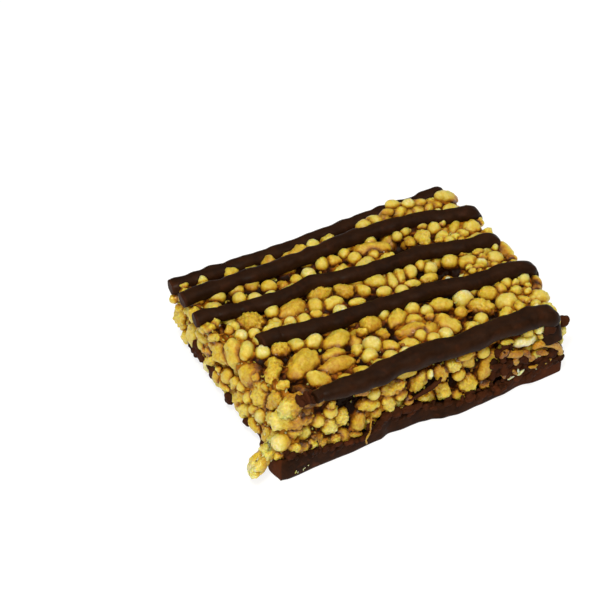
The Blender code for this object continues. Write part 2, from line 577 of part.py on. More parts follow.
def base_point(u, v, w, out=0.0, up=0.0):
    """A point of the base. out and up move its sides and its top, for the cutters that clear the slab from it."""
    y = mix(BASE_FRONT_Y, BASE_BACK_Y, v)
    x = mix(along_points(BASE_BREAK, y / MM) * MM, BASE_MOULDED_X, u)
    y = mix(along_points(BASE_FRONT, x / MM) * MM, BASE_BACK_Y, v)
    x, y = inside_corners(x, y, 0.0, BASE_MOULDED_X, BASE_BACK_Y, BASE_CORNER_ROUND)
    edge = min(u * BASE_CELLS_X, (1 - u) * BASE_CELLS_X, v * BASE_CELLS_Y, (1 - v) * BASE_CELLS_Y)
    if edge < 0.5:
        ripple = BASE_RIPPLE * noise.noise(Vector((x, y, 4 * MM)) / (5 * MM))
        x += (ripple + out) * ((u > 0.999) - (u < 0.001))
        y += (ripple + out) * (v > 0.999) - out * (v < 0.001)
    rim = 1 - smooth(edge / 1.6)
    bottom = -BASE_FLOOR if out or up else 0.0
    return Vector((x, y, mix(bottom, BASE_FLOOR + rim * rim_rise(x, y) + up, w)))


def base_cells(name, **grow):
    return cells_cube(name, (BASE_CELLS_X, BASE_CELLS_Y, 1), lambda u, v, w: base_point(u, v, w, **grow))


def add_base(home):
    base = bpy.data.objects.new("chocolate_base", base_cells("chocolate_base"))
    home.objects.link(base)
    base.data.materials.append(material("dark_chocolate", (0.032, 0.016, 0.010), 0.35))


def base_cutters(helpers):
    """The base a little higher and a little wider, for the gap between it and the slab."""
    cutters = []
    for name, grow in (("clear_above", dict(up=CLEARANCE)), ("clear_beside", dict(out=CLEARANCE))):
        cutter = bpy.data.objects.new(name, base_cells(name, **grow))
        cutter.hide_render = True
        cutter.display_type = "WIRE"
        helpers.objects.link(cutter)
        cutters.append(cutter)
    return cutters


def material(name, colour, roughness):
    made = bpy.data.materials.new(name)
    made.use_nodes = True
    shader = made.node_tree.nodes["Principled BSDF"]
    shader.inputs["Base Color"].default_value = (*colour, 1.0)
    shader.inputs["Roughness"].default_value = roughness
    return made


def main():
    clear_scene()
    home = bpy.data.collections.new("snack_bar_half")
    helpers = bpy.data.collections.new("helpers")
    for collection in (home, helpers):
        bpy.context.scene.collection.children.link(collection)
    add_slab(home, helpers)
    add_base(home)
    for obj in home.objects:
        obj.data.transform(Matrix.Translation(-ORIGIN))


main()
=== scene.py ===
# Half of a crisped-cereal snack bar, broken across its middle: its grains, syrup and chocolate.
#
# Lengths are in metres. They are measured from the middle of the block, and every piece is moved at the end
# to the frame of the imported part, with the broken face at -X and the front side at -Y.

import math
import random

import bmesh
import bpy
import numpy as np
from mathutils import Matrix, Vector, noise


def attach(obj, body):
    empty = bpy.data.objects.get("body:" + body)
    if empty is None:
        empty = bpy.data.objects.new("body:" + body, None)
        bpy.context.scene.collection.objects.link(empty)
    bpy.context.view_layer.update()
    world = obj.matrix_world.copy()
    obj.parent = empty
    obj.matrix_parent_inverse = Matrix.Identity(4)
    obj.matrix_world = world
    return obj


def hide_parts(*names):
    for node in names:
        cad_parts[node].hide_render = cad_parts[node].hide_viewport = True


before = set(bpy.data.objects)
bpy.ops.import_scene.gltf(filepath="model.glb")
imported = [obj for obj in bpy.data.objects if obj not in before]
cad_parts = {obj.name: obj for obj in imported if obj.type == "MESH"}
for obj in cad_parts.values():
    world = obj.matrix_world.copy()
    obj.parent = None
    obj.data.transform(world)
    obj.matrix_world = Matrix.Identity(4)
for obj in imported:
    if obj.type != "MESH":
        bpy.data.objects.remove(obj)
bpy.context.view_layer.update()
mm = 0.001
print("frame loaded:", ", ".join(sorted(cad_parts)))


def mix(a, b, t):
    return a + (b - a) * t


def clamped(t):
    return min(max(t, 0.0), 1.0)


def smooth(t):
    t = clamped(t)
    return t * t * (3 - 2 * t)


# the second number of points at a value of the first, eased from one point to the next
def alongPoints(points, place):
    for (near, low), (far, high) in zip(points, points[1:]):
        if place <= far:
            return mix(low, high, smooth((place - near) / (far - near)))
    return points[-1][1]


def sRgb(red, green, blue):
    channels = [c / 255 for c in (red, green, blue)]
    linear = [c / 12.92 if c <= 0.04045 else ((c + 0.055) / 1.055) ** 2.4 for c in channels]
    return (*linear, 1.0)


# one value of a noise that runs through space, for waves of a size
def noiseAt(x, y, z, size):
    return noise.noise(Vector((x, y, z)) / size)


# one node with its settings; a value that is a socket is linked, any other is set
def addNode(tree, kind, inputs=None, **settings):
    node = tree.nodes.new(kind)
    for name, value in settings.items():
        setattr(node, name, value)
    for name, value in (inputs or {}).items():
        if isinstance(value, bpy.types.NodeSocket):
            tree.links.new(value, node.inputs[name])
        else:
            node.inputs[name].default_value = value
    return node


def sumNode(tree, operation, a, b=0.0, c=0.0, clamp=False):
    inputs = {0: a, 1: b}
    if operation == "MULTIPLY_ADD":
        inputs[2] = c
    return addNode(tree, "ShaderNodeMath", inputs, operation=operation, use_clamp=clamp).outputs[0]


def rangeNode(tree, value, low, high, toLow=0.0, toHigh=1.0):
    inputs = {"Value": value, "From Min": low, "From Max": high, "To Min": toLow, "To Max": toHigh}
    return addNode(tree, "ShaderNodeMapRange", inputs, interpolation_type="SMOOTHSTEP").outputs[0]


def noiseNode(tree, size, detail=2.0, place=None, roughness=0.5):
    inputs = {"Scale": 1 / size, "Detail": detail, "Roughness": roughness}
    if place is not None:
        inputs["Vector"] = place
    return addNode(tree, "ShaderNodeTexNoise", inputs).outputs[0]


# runs a geometry tree on an object and leaves a plain mesh
def applyTree(obj, tree, values):
    modifier = obj.modifiers.new(tree.name, "NODES")
    modifier.node_group = tree
    for item in tree.interface.items_tree:
        if item.item_type == "SOCKET" and item.in_out == "INPUT" and item.name in values:
            modifier[item.identifier] = values[item.name]
    graph = bpy.context.evaluated_depsgraph_get()
    made = bpy.data.meshes.new_from_object(obj.evaluated_get(graph))
    made.name = obj.name
    obj.modifiers.clear()
    obj.data = made


def newTree(name, sockets):
    tree = bpy.data.node_groups.new(name, "GeometryNodeTree")
    tree.interface.new_socket("Geometry", in_out="INPUT", socket_type="NodeSocketGeometry")
    for socketName, kind in sockets.items():
        tree.interface.new_socket(socketName, in_out="INPUT", socket_type="NodeSocket" + kind)
    tree.interface.new_socket("Geometry", in_out="OUTPUT", socket_type="NodeSocketGeometry")
    return tree, addNode(tree, "NodeGroupInput"), addNode(tree, "NodeGroupOutput")


def named(tree, name, kind="FLOAT"):
    return addNode(tree, "GeometryNodeInputNamedAttribute", {"Name": name}, data_type=kind).outputs[0]


# noise from -1 to 1, times a height
def wavesNode(tree, scale, detail, height, place=None):
    inputs = {"Scale": scale, "Detail": detail}
    if place is not None:
        inputs["Vector"] = place
    waves = addNode(tree, "ShaderNodeTexNoise", inputs).outputs[0]
    return sumNode(tree, "MULTIPLY", sumNode(tree, "MULTIPLY_ADD", waves, 2.0, -1.0), height)


# how every geometry tree ends: its skin moves out by a height, is shaded smooth and gets its material
def endTree(tree, result, skin, height, material):
    normal = addNode(tree, "GeometryNodeInputNormal").outputs[0]
    offset = addNode(tree, "ShaderNodeVectorMath", {0: normal, "Scale": height}, operation="SCALE").outputs[0]
    moved = addNode(tree, "GeometryNodeSetPosition", {"Geometry": skin, "Offset": offset})
    shaded = addNode(tree, "GeometryNodeSetShadeSmooth", {"Geometry": moved.outputs[0]})
    finished = addNode(tree, "GeometryNodeSetMaterial", {"Geometry": shaded.outputs[0], "Material": material})
    tree.links.new(finished.outputs[0], result.inputs[0])
    return tree


def meshObject(name, vertices, edges=(), faces=()):
    mesh = bpy.data.meshes.new(name)
    mesh.from_pydata([tuple(v) for v in vertices], list(edges), list(faces))
    obj = bpy.data.objects.new(name, mesh)
    bpy.context.scene.collection.objects.link(obj)
    return obj


def storeValues(mesh, name, values, kind="FLOAT"):
    attribute = mesh.attributes.new(name, kind, "POINT")
    field = "vector" if kind == "FLOAT_VECTOR" else "value"
    attribute.data.foreach_set(field, np.asarray(values, np.float32).ravel())


def pointsOf(mesh):
    places = np.zeros(len(mesh.vertices) * 3, np.float32)
    mesh.vertices.foreach_get("co", places)
    return places.reshape(-1, 3).astype(float)


# The block: its outer faces, to the outermost grains. The broken face is given in plan, as (y, x) in mm.
block = dict(
    frontY=-21.5 * mm,
    backY=21.6 * mm,
    mouldedX=31.6 * mm,
    topFront=(17.8 * mm, 14.4 * mm),
    topBack=(15.6 * mm, 15.5 * mm),
    edgeRound=3.2 * mm,
    edgeDrop=1.0 * mm,
    cornerRound=4.0 * mm,
    breakLow=[(-21.5, -28.6), (-14.0, -30.5), (4.0, -31.4), (12.0, -30.8), (21.5, -29.8)],
    breakTop=[(-21.5, -25.9), (-3.0, -29.9), (6.0, -31.8), (21.5, -31.4)],
    breakLowZ=5.0 * mm,
    breakTopZ=16.0 * mm,
    floor=2.7 * mm,
    middle=Vector((-0.8, 0.1, 0.0)) * mm,
)


def topHeight(x, y):
    along = clamped((x + block["mouldedX"]) / (2 * block["mouldedX"]))
    across = clamped((y - block["frontY"]) / (block["backY"] - block["frontY"]))
    edge = min(y - block["frontY"], block["backY"] - y, block["mouldedX"] - x)
    fall = 1 - smooth(edge / block["edgeRound"])
    front, back = mix(*block["topFront"], along), mix(*block["topBack"], along)
    return mix(front, back, across) - block["edgeDrop"] * fall


def breakX(y, z):
    low = alongPoints(block["breakLow"], y / mm) * mm
    top = alongPoints(block["breakTop"], y / mm) * mm
    return mix(low, top, clamped((z - block["breakLowZ"]) / (block["breakTopZ"] - block["breakLowZ"])))


# moves a point in from the two rounded corners of the moulded end, with room to spare
def insideCorners(x, y, room, mouldedX, backY, rounding=block["cornerRound"]):
    cornerX = mouldedX - rounding
    cornerY = math.copysign(backY - rounding, y)
    overX, overY = x - cornerX, y - cornerY
    out = math.hypot(overX, overY)
    limit = max(rounding - room, 0.1 * rounding)
    if overX <= 0 or overY * cornerY <= 0 or out <= limit:
        return x, y
    return cornerX + overX * limit / out, cornerY + overY * limit / out


# how far many points lie under the nearest outer face, without the roundings
def sunkUnder(places):
    x, y, z = places.T
    along = np.clip((x + block["mouldedX"]) / (2 * block["mouldedX"]), 0, 1)
    across = np.clip((y - block["frontY"]) / (block["backY"] - block["frontY"]), 0, 1)
    front, back = mix(*block["topFront"], along), mix(*block["topBack"], along)
    low = np.interp(y / mm, *zip(*block["breakLow"])) * mm
    top = np.interp(y / mm, *zip(*block["breakTop"])) * mm
    height = np.clip((z - block["breakLowZ"]) / (block["breakTopZ"] - block["breakLowZ"]), 0, 1)
    walls = (mix(front, back, across) - z, x - mix(low, top, height), block["mouldedX"] - x,
             y - block["frontY"], block["backY"] - y)
    return np.min(walls, axis=0)


# The grains. They are packed in the same way as in the part's own solids, so the two have the same bumps.
packing = dict(
    seed=5,
    roundCount=270,
    ovalCount=290,
    roundRadius=(1.30 * mm, 1.75 * mm),
    ovalRadius=(1.65 * mm, 2.10 * mm),
    ovalStretch=(0.80 * mm, 1.60 * mm),
    closeness=0.97,
    steps=90,
    pairRefresh=6,
    pairMargin=1.2 * mm,
    push=0.35,
    looseness=0.5 * mm,
    breakLooseness=1.2 * mm,
    breakSlack=(-0.4, 1.0),
    strayAxis=(1, 0.3, 0.6),
    # grains that stand out of the block: x, y, z, radius, stretch, kind and toast
    strays=[
        (-29.0, -18.9, 7.0, 2.1, 0.8, "t", 0.22),
        (-31.2, -19.4, 6.0, 1.7, 0.8, "t", 0.20),
        (-33.5, -20.1, 4.6, 1.95, 0.7, "o", 0.14),
        (-26.6, -19.0, 14.4, 2.0, 0.8, "t", 0.22),
        (31.4, -17.6, 7.4, 1.2, 0.4, "t", 0.40),
    ],
    # grains that are in the look alone, in the same columns as the known ones below
    extras=[
        (9.4, 18.6, 14.9, 1.4, 0.5, 10, 0, "r", 0.30), (11.9, 18.9, 15.0, 1.4, 0.6, -20, 0, "r", 0.26),
        (14.2, 19.0, 15.1, 1.3, 0.5, 30, 0, "o", 0.36), (17.4, 18.9, 14.9, 1.4, 0.5, 0, 0, "r", 0.30),
        (19.0, 18.0, 14.6, 1.2, 0.4, 60, 0, "o", 0.38), (21.0, 18.2, 14.5, 1.3, 0.5, 0, 0, "r", 0.34),
        (23.6, 18.0, 14.4, 1.2, 0.4, 20, 0, "o", 0.36), (18.4, 20.4, 14.6, 1.3, 0.5, 0, 0, "r", 0.24),
        (21.4, 20.0, 14.4, 1.3, 0.5, 0, 0, "o", 0.36), (24.6, 19.4, 14.2, 1.3, 0.4, 0, 0, "r", 0.3),
        (30.2, -10.6, 12.2, 1.4, 0.5, 40, 0, "r", 0.34), (28.0, -10.6, 12.4, 1.3, 0.3, 0, 0, "o", 0.42),
        (-29.3, -20.6, 5.8, 1.2, 0.6, 20, 10, "t", 0.36), (-27.2, -21.0, 6.0, 1.3, 0.6, -20, 0, "t", 0.32),
        (-25.2, -21.0, 5.6, 1.1, 0.5, 10, 0, "t", 0.40), (-23.2, -20.9, 5.4, 1.1, 0.5, 0, 20, "t", 0.28),
        (-21.2, -20.9, 4.9, 1.0, 0.4, 0, 0, "t", 0.36), (-18.4, -20.9, 4.4, 1.0, 0.4, 0, 0, "t", 0.30),
        (-29.2, -20.4, 8.1, 1.8, 0.1, 0, 0, "r", 0.16), (-34.6, -20.7, 4.0, 1.3, 0.6, 240, -10, "t", 0.18),
    ],
    # more of them, low on the back side and under the front stripe
    fillers=[
        (-17.4, 20.0, 7.4, 1.7, 0.5, 20, 0, "o", 0.40), (-15.4, 20.3, 5.4, 1.3, 0.4, 0, 0, "r", 0.34),
        (-19.6, 20.1, 5.3, 1.3, 0.5, 0, 30, "o", 0.42), (-27.9, 19.4, 7.2, 1.6, 0.6, 0, 60, "t", 0.40),
        (-26.2, 20.0, 9.8, 1.5, 0.4, 30, 0, "o", 0.36), (-27.6, 19.4, 4.9, 1.3, 0.4, 0, 0, "t", 0.44),
        (-24.6, 20.2, 6.2, 1.4, 0.3, 0, 0, "r", 0.30), (-13.0, 20.2, 8.0, 1.3, 0.5, 40, 0, "o", 0.38),
        (-8.2, 20.2, 5.2, 1.2, 0.4, 0, 0, "r", 0.36), (9.0, 20.0, 6.0, 1.3, 0.4, 0, 40, "o", 0.42),
        (-23.5, -18.7, 14.1, 1.5, 0.5, 0, 0, "o", 0.54), (-21.0, -18.9, 14.2, 1.5, 0.8, 10, 0, "o", 0.56),
        (-18.2, -19.0, 14.3, 1.35, 0.8, 0, 0, "o", 0.52), (-24.4, -19.4, 12.6, 1.3, 0.4, 0, 0, "r", 0.40),
    ],
    # grains in known places: x, y, z, radius, stretch, heading, climb, kind and toast, in mm and degrees. The
    # kinds are round, oval, long and torn.
    setGrains=[
        (-30.5, 6.6, 14.6, 1.2, 2, -90, 41, "t", 0.4), (-30.4, 20.3, 11.5, 1.2, 0.2, 0, 2, "t", 0.4),
        (-30.4, 3.8, 14.6, 1, 1.6, -90, 38, "t", 0.38), (-30.3, 0, 5.4, 0.9, 0.9, -90, 6, "t", 0.34),
        (-30.1, 5.3, 7.5, 1.3, 0.6, -90, 39, "t", 0.34), (-29.5, -3, 8.3, 1.2, 0.4, -90, 67, "t", 0.33),
        (-29.4, -0, 7.5, 1.6, 0.5, -90, 61, "r", 0.38), (-29.3, 19.2, 8.1, 2, 1.4, 0, 79, "t", 0.36),
        (-29.3, -4.6, 5.4, 1.6, 2, -90, 74, "t", 0.42), (-29.2, -10.5, 4.1, 1.3, 0.8, -90, 6, "t", 0.42),
        (-29.2, -14.7, 4.4, 1.2, 2, -90, 70, "t", 0.44), (-29, -9.7, 7.1, 1.2, 0.5, -90, 40, "r", 0.35),
        (-28.7, 14.9, 14.4, 1.4, 0.4, -28, 0, "t", 0.52), (-28.7, 2.9, 11.9, 2.5, 1.9, -90, 5, "t", 0.42),
        (-28.6, -11.7, 6.8, 1.5, 0.4, -90, 62, "r", 0.2), (-27.6, 2.9, 15.4, 1, 0, 0, 0, "t", 0.5),
        (-27.6, -6, 12.1, 2.4, 0.8, -90, 5, "o", 0.46), (-27.2, -9.9, 10.5, 2.4, 0.9, -90, -58, "t", 0.38),
        (-27, -2.8, 15, 1.6, 0.7, 60, 0, "r", 0.28), (-26.4, -13.4, 11.1, 2, 2.5, -107, 54, "t", 0.5),
        (-26.3, -19.1, 11.9, 2.4, 2.2, 0, -11, "t", 0.20), (-26.1, -15.2, 16.1, 1, 0.2, -28, 0, "t", 0.4),
        (-25.7, -10.5, 15.5, 1.4, 1.6, 52, 0, "t", 0.42), (-25, 13.9, 14.4, 1.4, 0.5, -28, 0, "r", 0.36),
        (-24.6, -20.4, 5.2, 1.1, 0.9, 0, -34, "t", 0.3), (-22.3, 4.5, 13.4, 2.8, 0.2, -84, 0, "t", 0.48),
        (-21.7, -20.3, 5.6, 1.2, 0.7, 0, -42, "t", 0.42), (-21.6, -5.5, 14.9, 1.7, 0.3, 0, 0, "t", 0.45),
        (-20.8, 14, 14.4, 1.4, 0.2, -28, 0, "o", 0.4), (-20.2, 0.3, 15.3, 1, 1, 1, 0, "o", 0.3),
        (-19.6, -10.3, 13.9, 2.8, 1.5, 28, 0, "o", 0.44), (-19.4, -20.3, 3.7, 1.2, 0.2, 0, -25, "t", 0.36),
        (-19.2, -20.5, 13.1, 1, 0, 0, 0, "t", 0.5), (-19.1, -19.7, 7.4, 1.8, 0, 0, 0, "t", 0.24),
        (-17.8, 5, 14.6, 1.5, 0, 0, 0, "r", 0.3), (-17.7, 14.3, 14.2, 1.6, 0.4, -28, 0, "o", 0.42),
        (-16.9, -19.8, 8.5, 1.7, 0.3, 0, -75, "t", 0.3), (-16.6, -19.8, 3.6, 1.7, 0.3, 0, -59, "r", 0.38),
        (-14.9, -6.2, 14.8, 1.6, 0.3, 13, 0, "r", 0.2), (-14.9, 11.8, 14.4, 1.4, 0.2, -28, 0, "r", 0.4),
        (-14.5, -20.8, 3.7, 0.7, 1, 0, -19, "t", 0.4), (-14.4, -14, 14.7, 1.9, 1.9, 0, 0, "l", 0.5),
        (-14.1, 4, 13.8, 2.2, 1.3, 16, 0, "o", 0.5), (-13.2, -19.9, 5.9, 1.6, 1, 0, 80, "o", 0.5),
        (-13, -20.5, 13.6, 1, 1, 0, -13, "t", 0.66), (-11.1, -7.6, 14.1, 2.2, 1, 23, 0, "o", 0.42),
        (-11.1, 0.1, 15.1, 0.9, 0.3, -28, 0, "r", 0.36), (-11.1, -19.8, 9.1, 1.7, 0.7, 0, -13, "t", 0.4),
        (-9.8, 14.9, 14.3, 1.4, 0.6, -13, 0, "o", 0.42), (-9.3, -12.3, 15.1, 1.2, 0, 0, 0, "t", 0.32),
        (-7.1, 6, 13.6, 2.2, 0.6, 7, 0, "t", 0.46), (-7.1, -20.1, 7.8, 1.4, 1.4, 0, -81, "t", 0.32),
        (-6.5, 1.7, 14.5, 1.4, 0.8, 1, 0, "o", 0.33), (-6.1, -8.4, 15.1, 1, 0.2, -28, 0, "t", 0.45),
        (-6.1, -19.7, 11.1, 1.8, 1.2, 0, -7, "t", 0.45), (-5.8, -11.6, 14.3, 1.9, 0, 0, 0, "r", 0.18),
        (-5.2, 15.2, 14.2, 1.4, 0.2, -28, 0, "r", 0.33), (-4.7, -20.3, 9.2, 1.2, 0.9, 0, -80, "t", 0.42),
        (-3.2, -6.3, 14, 2, 0.3, 0, 0, "o", 0.47), (-3.1, -13.9, 14.7, 1.4, 0.5, -57, 0, "o", 0.42),
        (-3, -20.4, 6.8, 1.1, 0, 0, 0, "r", 0.6), (-2.8, 4.1, 14.2, 1.6, 0.6, -28, 0, "t", 0.5),
        (-2.8, 13.1, 14.3, 1.3, 0.3, 41, 0, "r", 0.3), (-2.7, -10.5, 14.8, 1.2, 0, 0, 0, "t", 0.45),
        (-2.6, -0.3, 14.9, 0.9, 0.8, -13, 0, "r", 0.33), (-0.6, 12.8, 14.2, 1.4, 0.2, -28, 0, "o", 0.42),
        (-0.4, -19.7, 10.1, 1.8, 0.8, 0, 60, "t", 0.45), (0.2, 2.6, 14.3, 1.4, 0.4, -57, 0, "o", 0.38),
        (0.3, -20.6, 6.2, 0.9, 0.3, 0, -1, "t", 0.4), (1.2, -20.8, 11.7, 0.7, 0.4, 0, 83, "t", 0),
        (2, -7.3, 14, 1.8, 0.8, 43, 0, "o", 0.42), (2.3, 13.7, 14.3, 1.2, 0, 0, 0, "r", 0.33),
        (3.5, 0.3, 14.4, 1.2, 0.4, -13, 0, "r", 0.3), (3.7, -11.7, 13.8, 2, 2.4, -13, 0, "l", 0.5),
        (3.8, 3.9, 14.1, 1.5, 0.9, -23, 0, "o", 0.36), (3.9, -19.9, 10.6, 1.6, 0.7, 0, -60, "t", 0.5),
        (4.6, -19.9, 5.5, 1.6, 1.1, 0, -60, "t", 0.36), (6.4, 2.3, 14.6, 1, 1.2, -103, 0, "r", 0.28),
        (6.4, -20, 11.4, 1.5, 0.5, 0, -40, "t", 0.32), (7.3, -10.2, 14.6, 1, 0.2, 12, 0, "t", 0.48),
        (7.6, -20.5, 3.6, 1, 1.1, 0, -33, "t", 0.44), (7.9, 12.7, 13.9, 1.6, 2.3, -20, 0, "l", 0.5),
        (8.4, 3.1, 14.1, 1.4, 0.7, -106, 0, "o", 0.38), (8.9, -20.7, 12.8, 0.8, 1.2, 0, 0, "o", 0.45),
        (9.2, -0.3, 14.6, 0.9, 0.8, -20, 0, "o", 0.35), (9.6, -12.3, 13.5, 2, 1.1, -60, 0, "o", 0.42),
        (10, -19.5, 4.6, 2, 0.5, 0, -66, "t", 0.42), (11, 3.5, 14, 1.4, 0.3, 53, 0, "r", 0.3),
        (11.3, -7.5, 13.8, 1.6, 0.9, -16, 0, "o", 0.43), (13, -0.2, 14.3, 1.1, 0.7, -6, 0, "o", 0.38),
        (13.1, -15.8, 14.3, 1, 0.6, 6, 0, "t", 0.3), (13.4, -11.2, 14, 1.3, 0, 0, 0, "r", 0.48),
        (13.6, 3.9, 14.2, 1.2, 0, 0, 0, "r", 0.3), (13.6, -20.3, 3.6, 1.2, 0.5, 0, -24, "t", 0.7),
        (13.9, 13.5, 14.3, 1.1, 0, 0, 0, "r", 0.33), (14.1, -19.7, 7.8, 1.8, 1.9, 0, 70, "l", 0.52),
        (14.9, 2.5, 14, 1.4, 0, 0, 0, "r", 0.22), (15.2, 10.8, 14.2, 1.2, 0, 0, 0, "t", 0.5),
        (15.2, 19.2, 15.7, 1, 0.7, 0, -21, "r", 0.3), (16, 14.5, 14.2, 1.2, 0, 0, 0, "r", 0.3),
        (16.1, -7.6, 13.4, 1.9, 0.2, -28, 0, "r", 0.16), (16.9, 20.6, 15.9, 1.2, 0.5, 0, -21, "r", 0.28),
        (17.7, -20.7, 12.5, 0.8, 0.9, 0, -23, "r", 0.4), (17.9, -11.2, 13.5, 1.7, 0.9, -46, 0, "t", 0.42),
        (18.4, 11.2, 13.9, 1.4, 1, -100, 0, "t", 0.36), (19.5, 2.8, 13.6, 1.6, 0.2, -28, 0, "r", 0.36),
        (19.7, 14.2, 14.3, 1.1, 0.2, -28, 0, "r", 0.3), (20, 19.6, 15.8, 1.1, 0.5, 0, -21, "r", 0.14),
        (20.6, 8.5, 14.6, 0.7, 0.5, -6, 0, "r", 0.4), (20.8, -19.9, 7.4, 1.6, 1.2, 0, -46, "t", 0.62),
        (21.1, -8.4, 13.5, 1.6, 0.4, -20, 0, "o", 0.42), (21.7, 12.7, 13.8, 1.5, 0, 0, 0, "r", 0.28),
        (21.7, -20.1, 10.9, 1.4, 1.5, 0, -3, "o", 0.04), (22.3, 1.2, 13.6, 1.6, 0.4, -20, 0, "o", 0.36),
        (22.5, 19.2, 15.2, 1.1, 0.6, 0, -21, "r", 0.33), (23.1, -1.7, 14.4, 0.7, 0.6, -13, 0, "r", 0.38),
        (23.3, -11.7, 12.8, 2.1, 0.2, -28, 0, "r", 0.24), (23.7, -8.8, 13.8, 1.2, 0, 0, 0, "r", 0.4),
        (25.2, 2.4, 14.2, 0.9, 0.3, -28, 0, "t", 0.42), (25.3, 11, 13.9, 1.3, 0.8, 46, 0, "o", 0.38),
        (25.5, -7.7, 13.7, 1.2, 0, 0, 0, "r", 0.28), (25.5, 17.9, 14.5, 0.9, 0.4, 0, -21, "r", 0.36),
        (26.1, -10.3, 13.6, 1.2, 0.2, -28, 0, "t", 0.32), (26.2, -13.7, 13.8, 1, 0.2, -28, 0, "t", 0.40),
        (27.6, -0.1, 13.4, 1.6, 0.2, -28, 0, "r", 0.3), (28.1, -19.1, 4.6, 2.4, 0.8, 0, -52, "o", 0.62),
        (28.3, 9.7, 13.5, 1.7, 0.6, 1, 0, "o", 0.36), (28.4, 19.3, 14.3, 1.6, 1.6, 0, -33, "o", 0.28),
        (29.2, -7.6, 13.1, 1.5, 0.3, 45, 0, "r", 0.18), (29.4, -13.1, 12.4, 2, 0.2, 11, 0, "o", 0.30),
        (30.6, -1.4, 13.2, 0.9, 0.3, -28, 0, "r", 0.35), (31, 2.1, 12.4, 1.6, 1.1, -75, 0, "o", 0.24),
        (31, 11, 13.3, 1, 0, 0, 0, "t", 0.28), (31.5, -9, 12.5, 1.2, 0.8, -101, 0, "r", 0.33),
    ],
)


kindNames = dict(r="roundCrisps", o="ovalPuffs", l="longPuffs", t="tornPuffs")


def randomBalls(rng):
    balls, rods = [], []
    for number in range(packing["roundCount"] + packing["ovalCount"]):
        oval = number < packing["ovalCount"]
        radius = rng.uniform(*packing["ovalRadius" if oval else "roundRadius"])
        y, z = rng.uniform(block["frontY"], block["backY"]), rng.uniform(block["floor"], block["topBack"][1])
        centre = Vector((rng.uniform(breakX(y, z), block["mouldedX"]), y, z))
        half = rng.uniform(*packing["ovalStretch"]) if oval else 0.0
        aim = Vector([rng.uniform(-1, 1) for _ in range(3)]).normalized() * half
        slack = rng.uniform(0, packing["looseness"])
        breakSlack = rng.uniform(*packing["breakSlack"]) * packing["breakLooseness"]
        if oval:
            rods.append((len(balls), len(balls) + 1, 2 * half))
        for side in (1, -1) if oval else (0,):
            place = centre + aim * side
            balls.append([round(c, 9) for c in place] + [radius, number, slack, breakSlack])
    return balls, rods


def aimOf(heading, climb):
    heading, climb = math.radians(heading), math.radians(climb)
    return Vector((math.cos(heading) * math.cos(climb), math.sin(heading) * math.cos(climb), math.sin(climb)))


def setBalls():
    balls = []
    first = packing["roundCount"] + packing["ovalCount"]
    for number, (x, y, z, radius, stretch, heading, climb, _, _) in enumerate(packing["setGrains"], first):
        aim = aimOf(heading, climb) * stretch
        for side in (1, -1) if stretch else (0,):
            place = (Vector((x, y, z)) + aim * side) * mm
            balls.append([round(c, 9) for c in place] + [radius * mm, number, 0.0, 0.0])
    return balls


def lengthOf(steps):
    return np.sqrt(steps[:, 0] ** 2 + steps[:, 1] ** 2 + steps[:, 2] ** 2) + 1e-12


def nearPairs(balls):
    first, second = np.triu_indices(len(balls), 1)
    apart = lengthOf(balls[first, :3] - balls[second, :3])
    reach = balls[first, 3] + balls[second, 3] + packing["pairMargin"]
    keep = (apart < reach) & (balls[first, 4] != balls[second, 4])
    return first[keep], second[keep]


def pushApart(balls, first, second):
    steps = balls[second, :3] - balls[first, :3]
    apart = lengthOf(steps)
    overlap = packing["closeness"] * (balls[first, 3] + balls[second, 3]) - apart
    share = np.where(overlap > 0, packing["push"] * overlap / apart, 0.0)
    for axis in range(3):
        push = share * steps[:, axis]
        balls[:, axis] += np.bincount(second, push, len(balls))
        balls[:, axis] -= np.bincount(first, push, len(balls))


def holdRods(balls, rods):
    for a, b, length in rods:
        step = balls[b, :3] - balls[a, :3]
        apart = math.sqrt(step[0] ** 2 + step[1] ** 2 + step[2] ** 2) + 1e-12
        fix = 0.5 * (apart - length) / apart
        balls[a, :3] += fix * step
        balls[b, :3] -= fix * step


def pressIn(balls):
    for ball in balls:
        radius, slack, breakSlack = ball[3], ball[5], ball[6]
        room = radius + slack
        y = min(max(ball[1], block["frontY"] + room), block["backY"] - room)
        z = max(ball[2], block["floor"] + 0.5 * radius)
        x = max(min(ball[0], block["mouldedX"] - room), breakX(y, z) + radius + breakSlack)
        x, y = insideCorners(x, y, room, block["mouldedX"], block["backY"])
        ball[:3] = x, y, min(z, topHeight(x, y) - room)


def grainBetween(one, other, oval):
    a, b = Vector(one[:3]), Vector(other[:3])
    axis = (a - b).normalized() if a != b else Vector((0, 0, 1))
    return dict(centre=(a + b) / 2, axis=axis, radius=one[3], stretch=(a - b).length / 2, oval=oval)


def extraGrains(name):
    return [dict(centre=Vector((x, y, z)) * mm, axis=aimOf(heading, climb), radius=radius * mm,
                 stretch=stretch * mm, oval=stretch > 0, known=kindNames[kind], toast=toast)
            for x, y, z, radius, stretch, heading, climb, kind, toast in packing[name]]


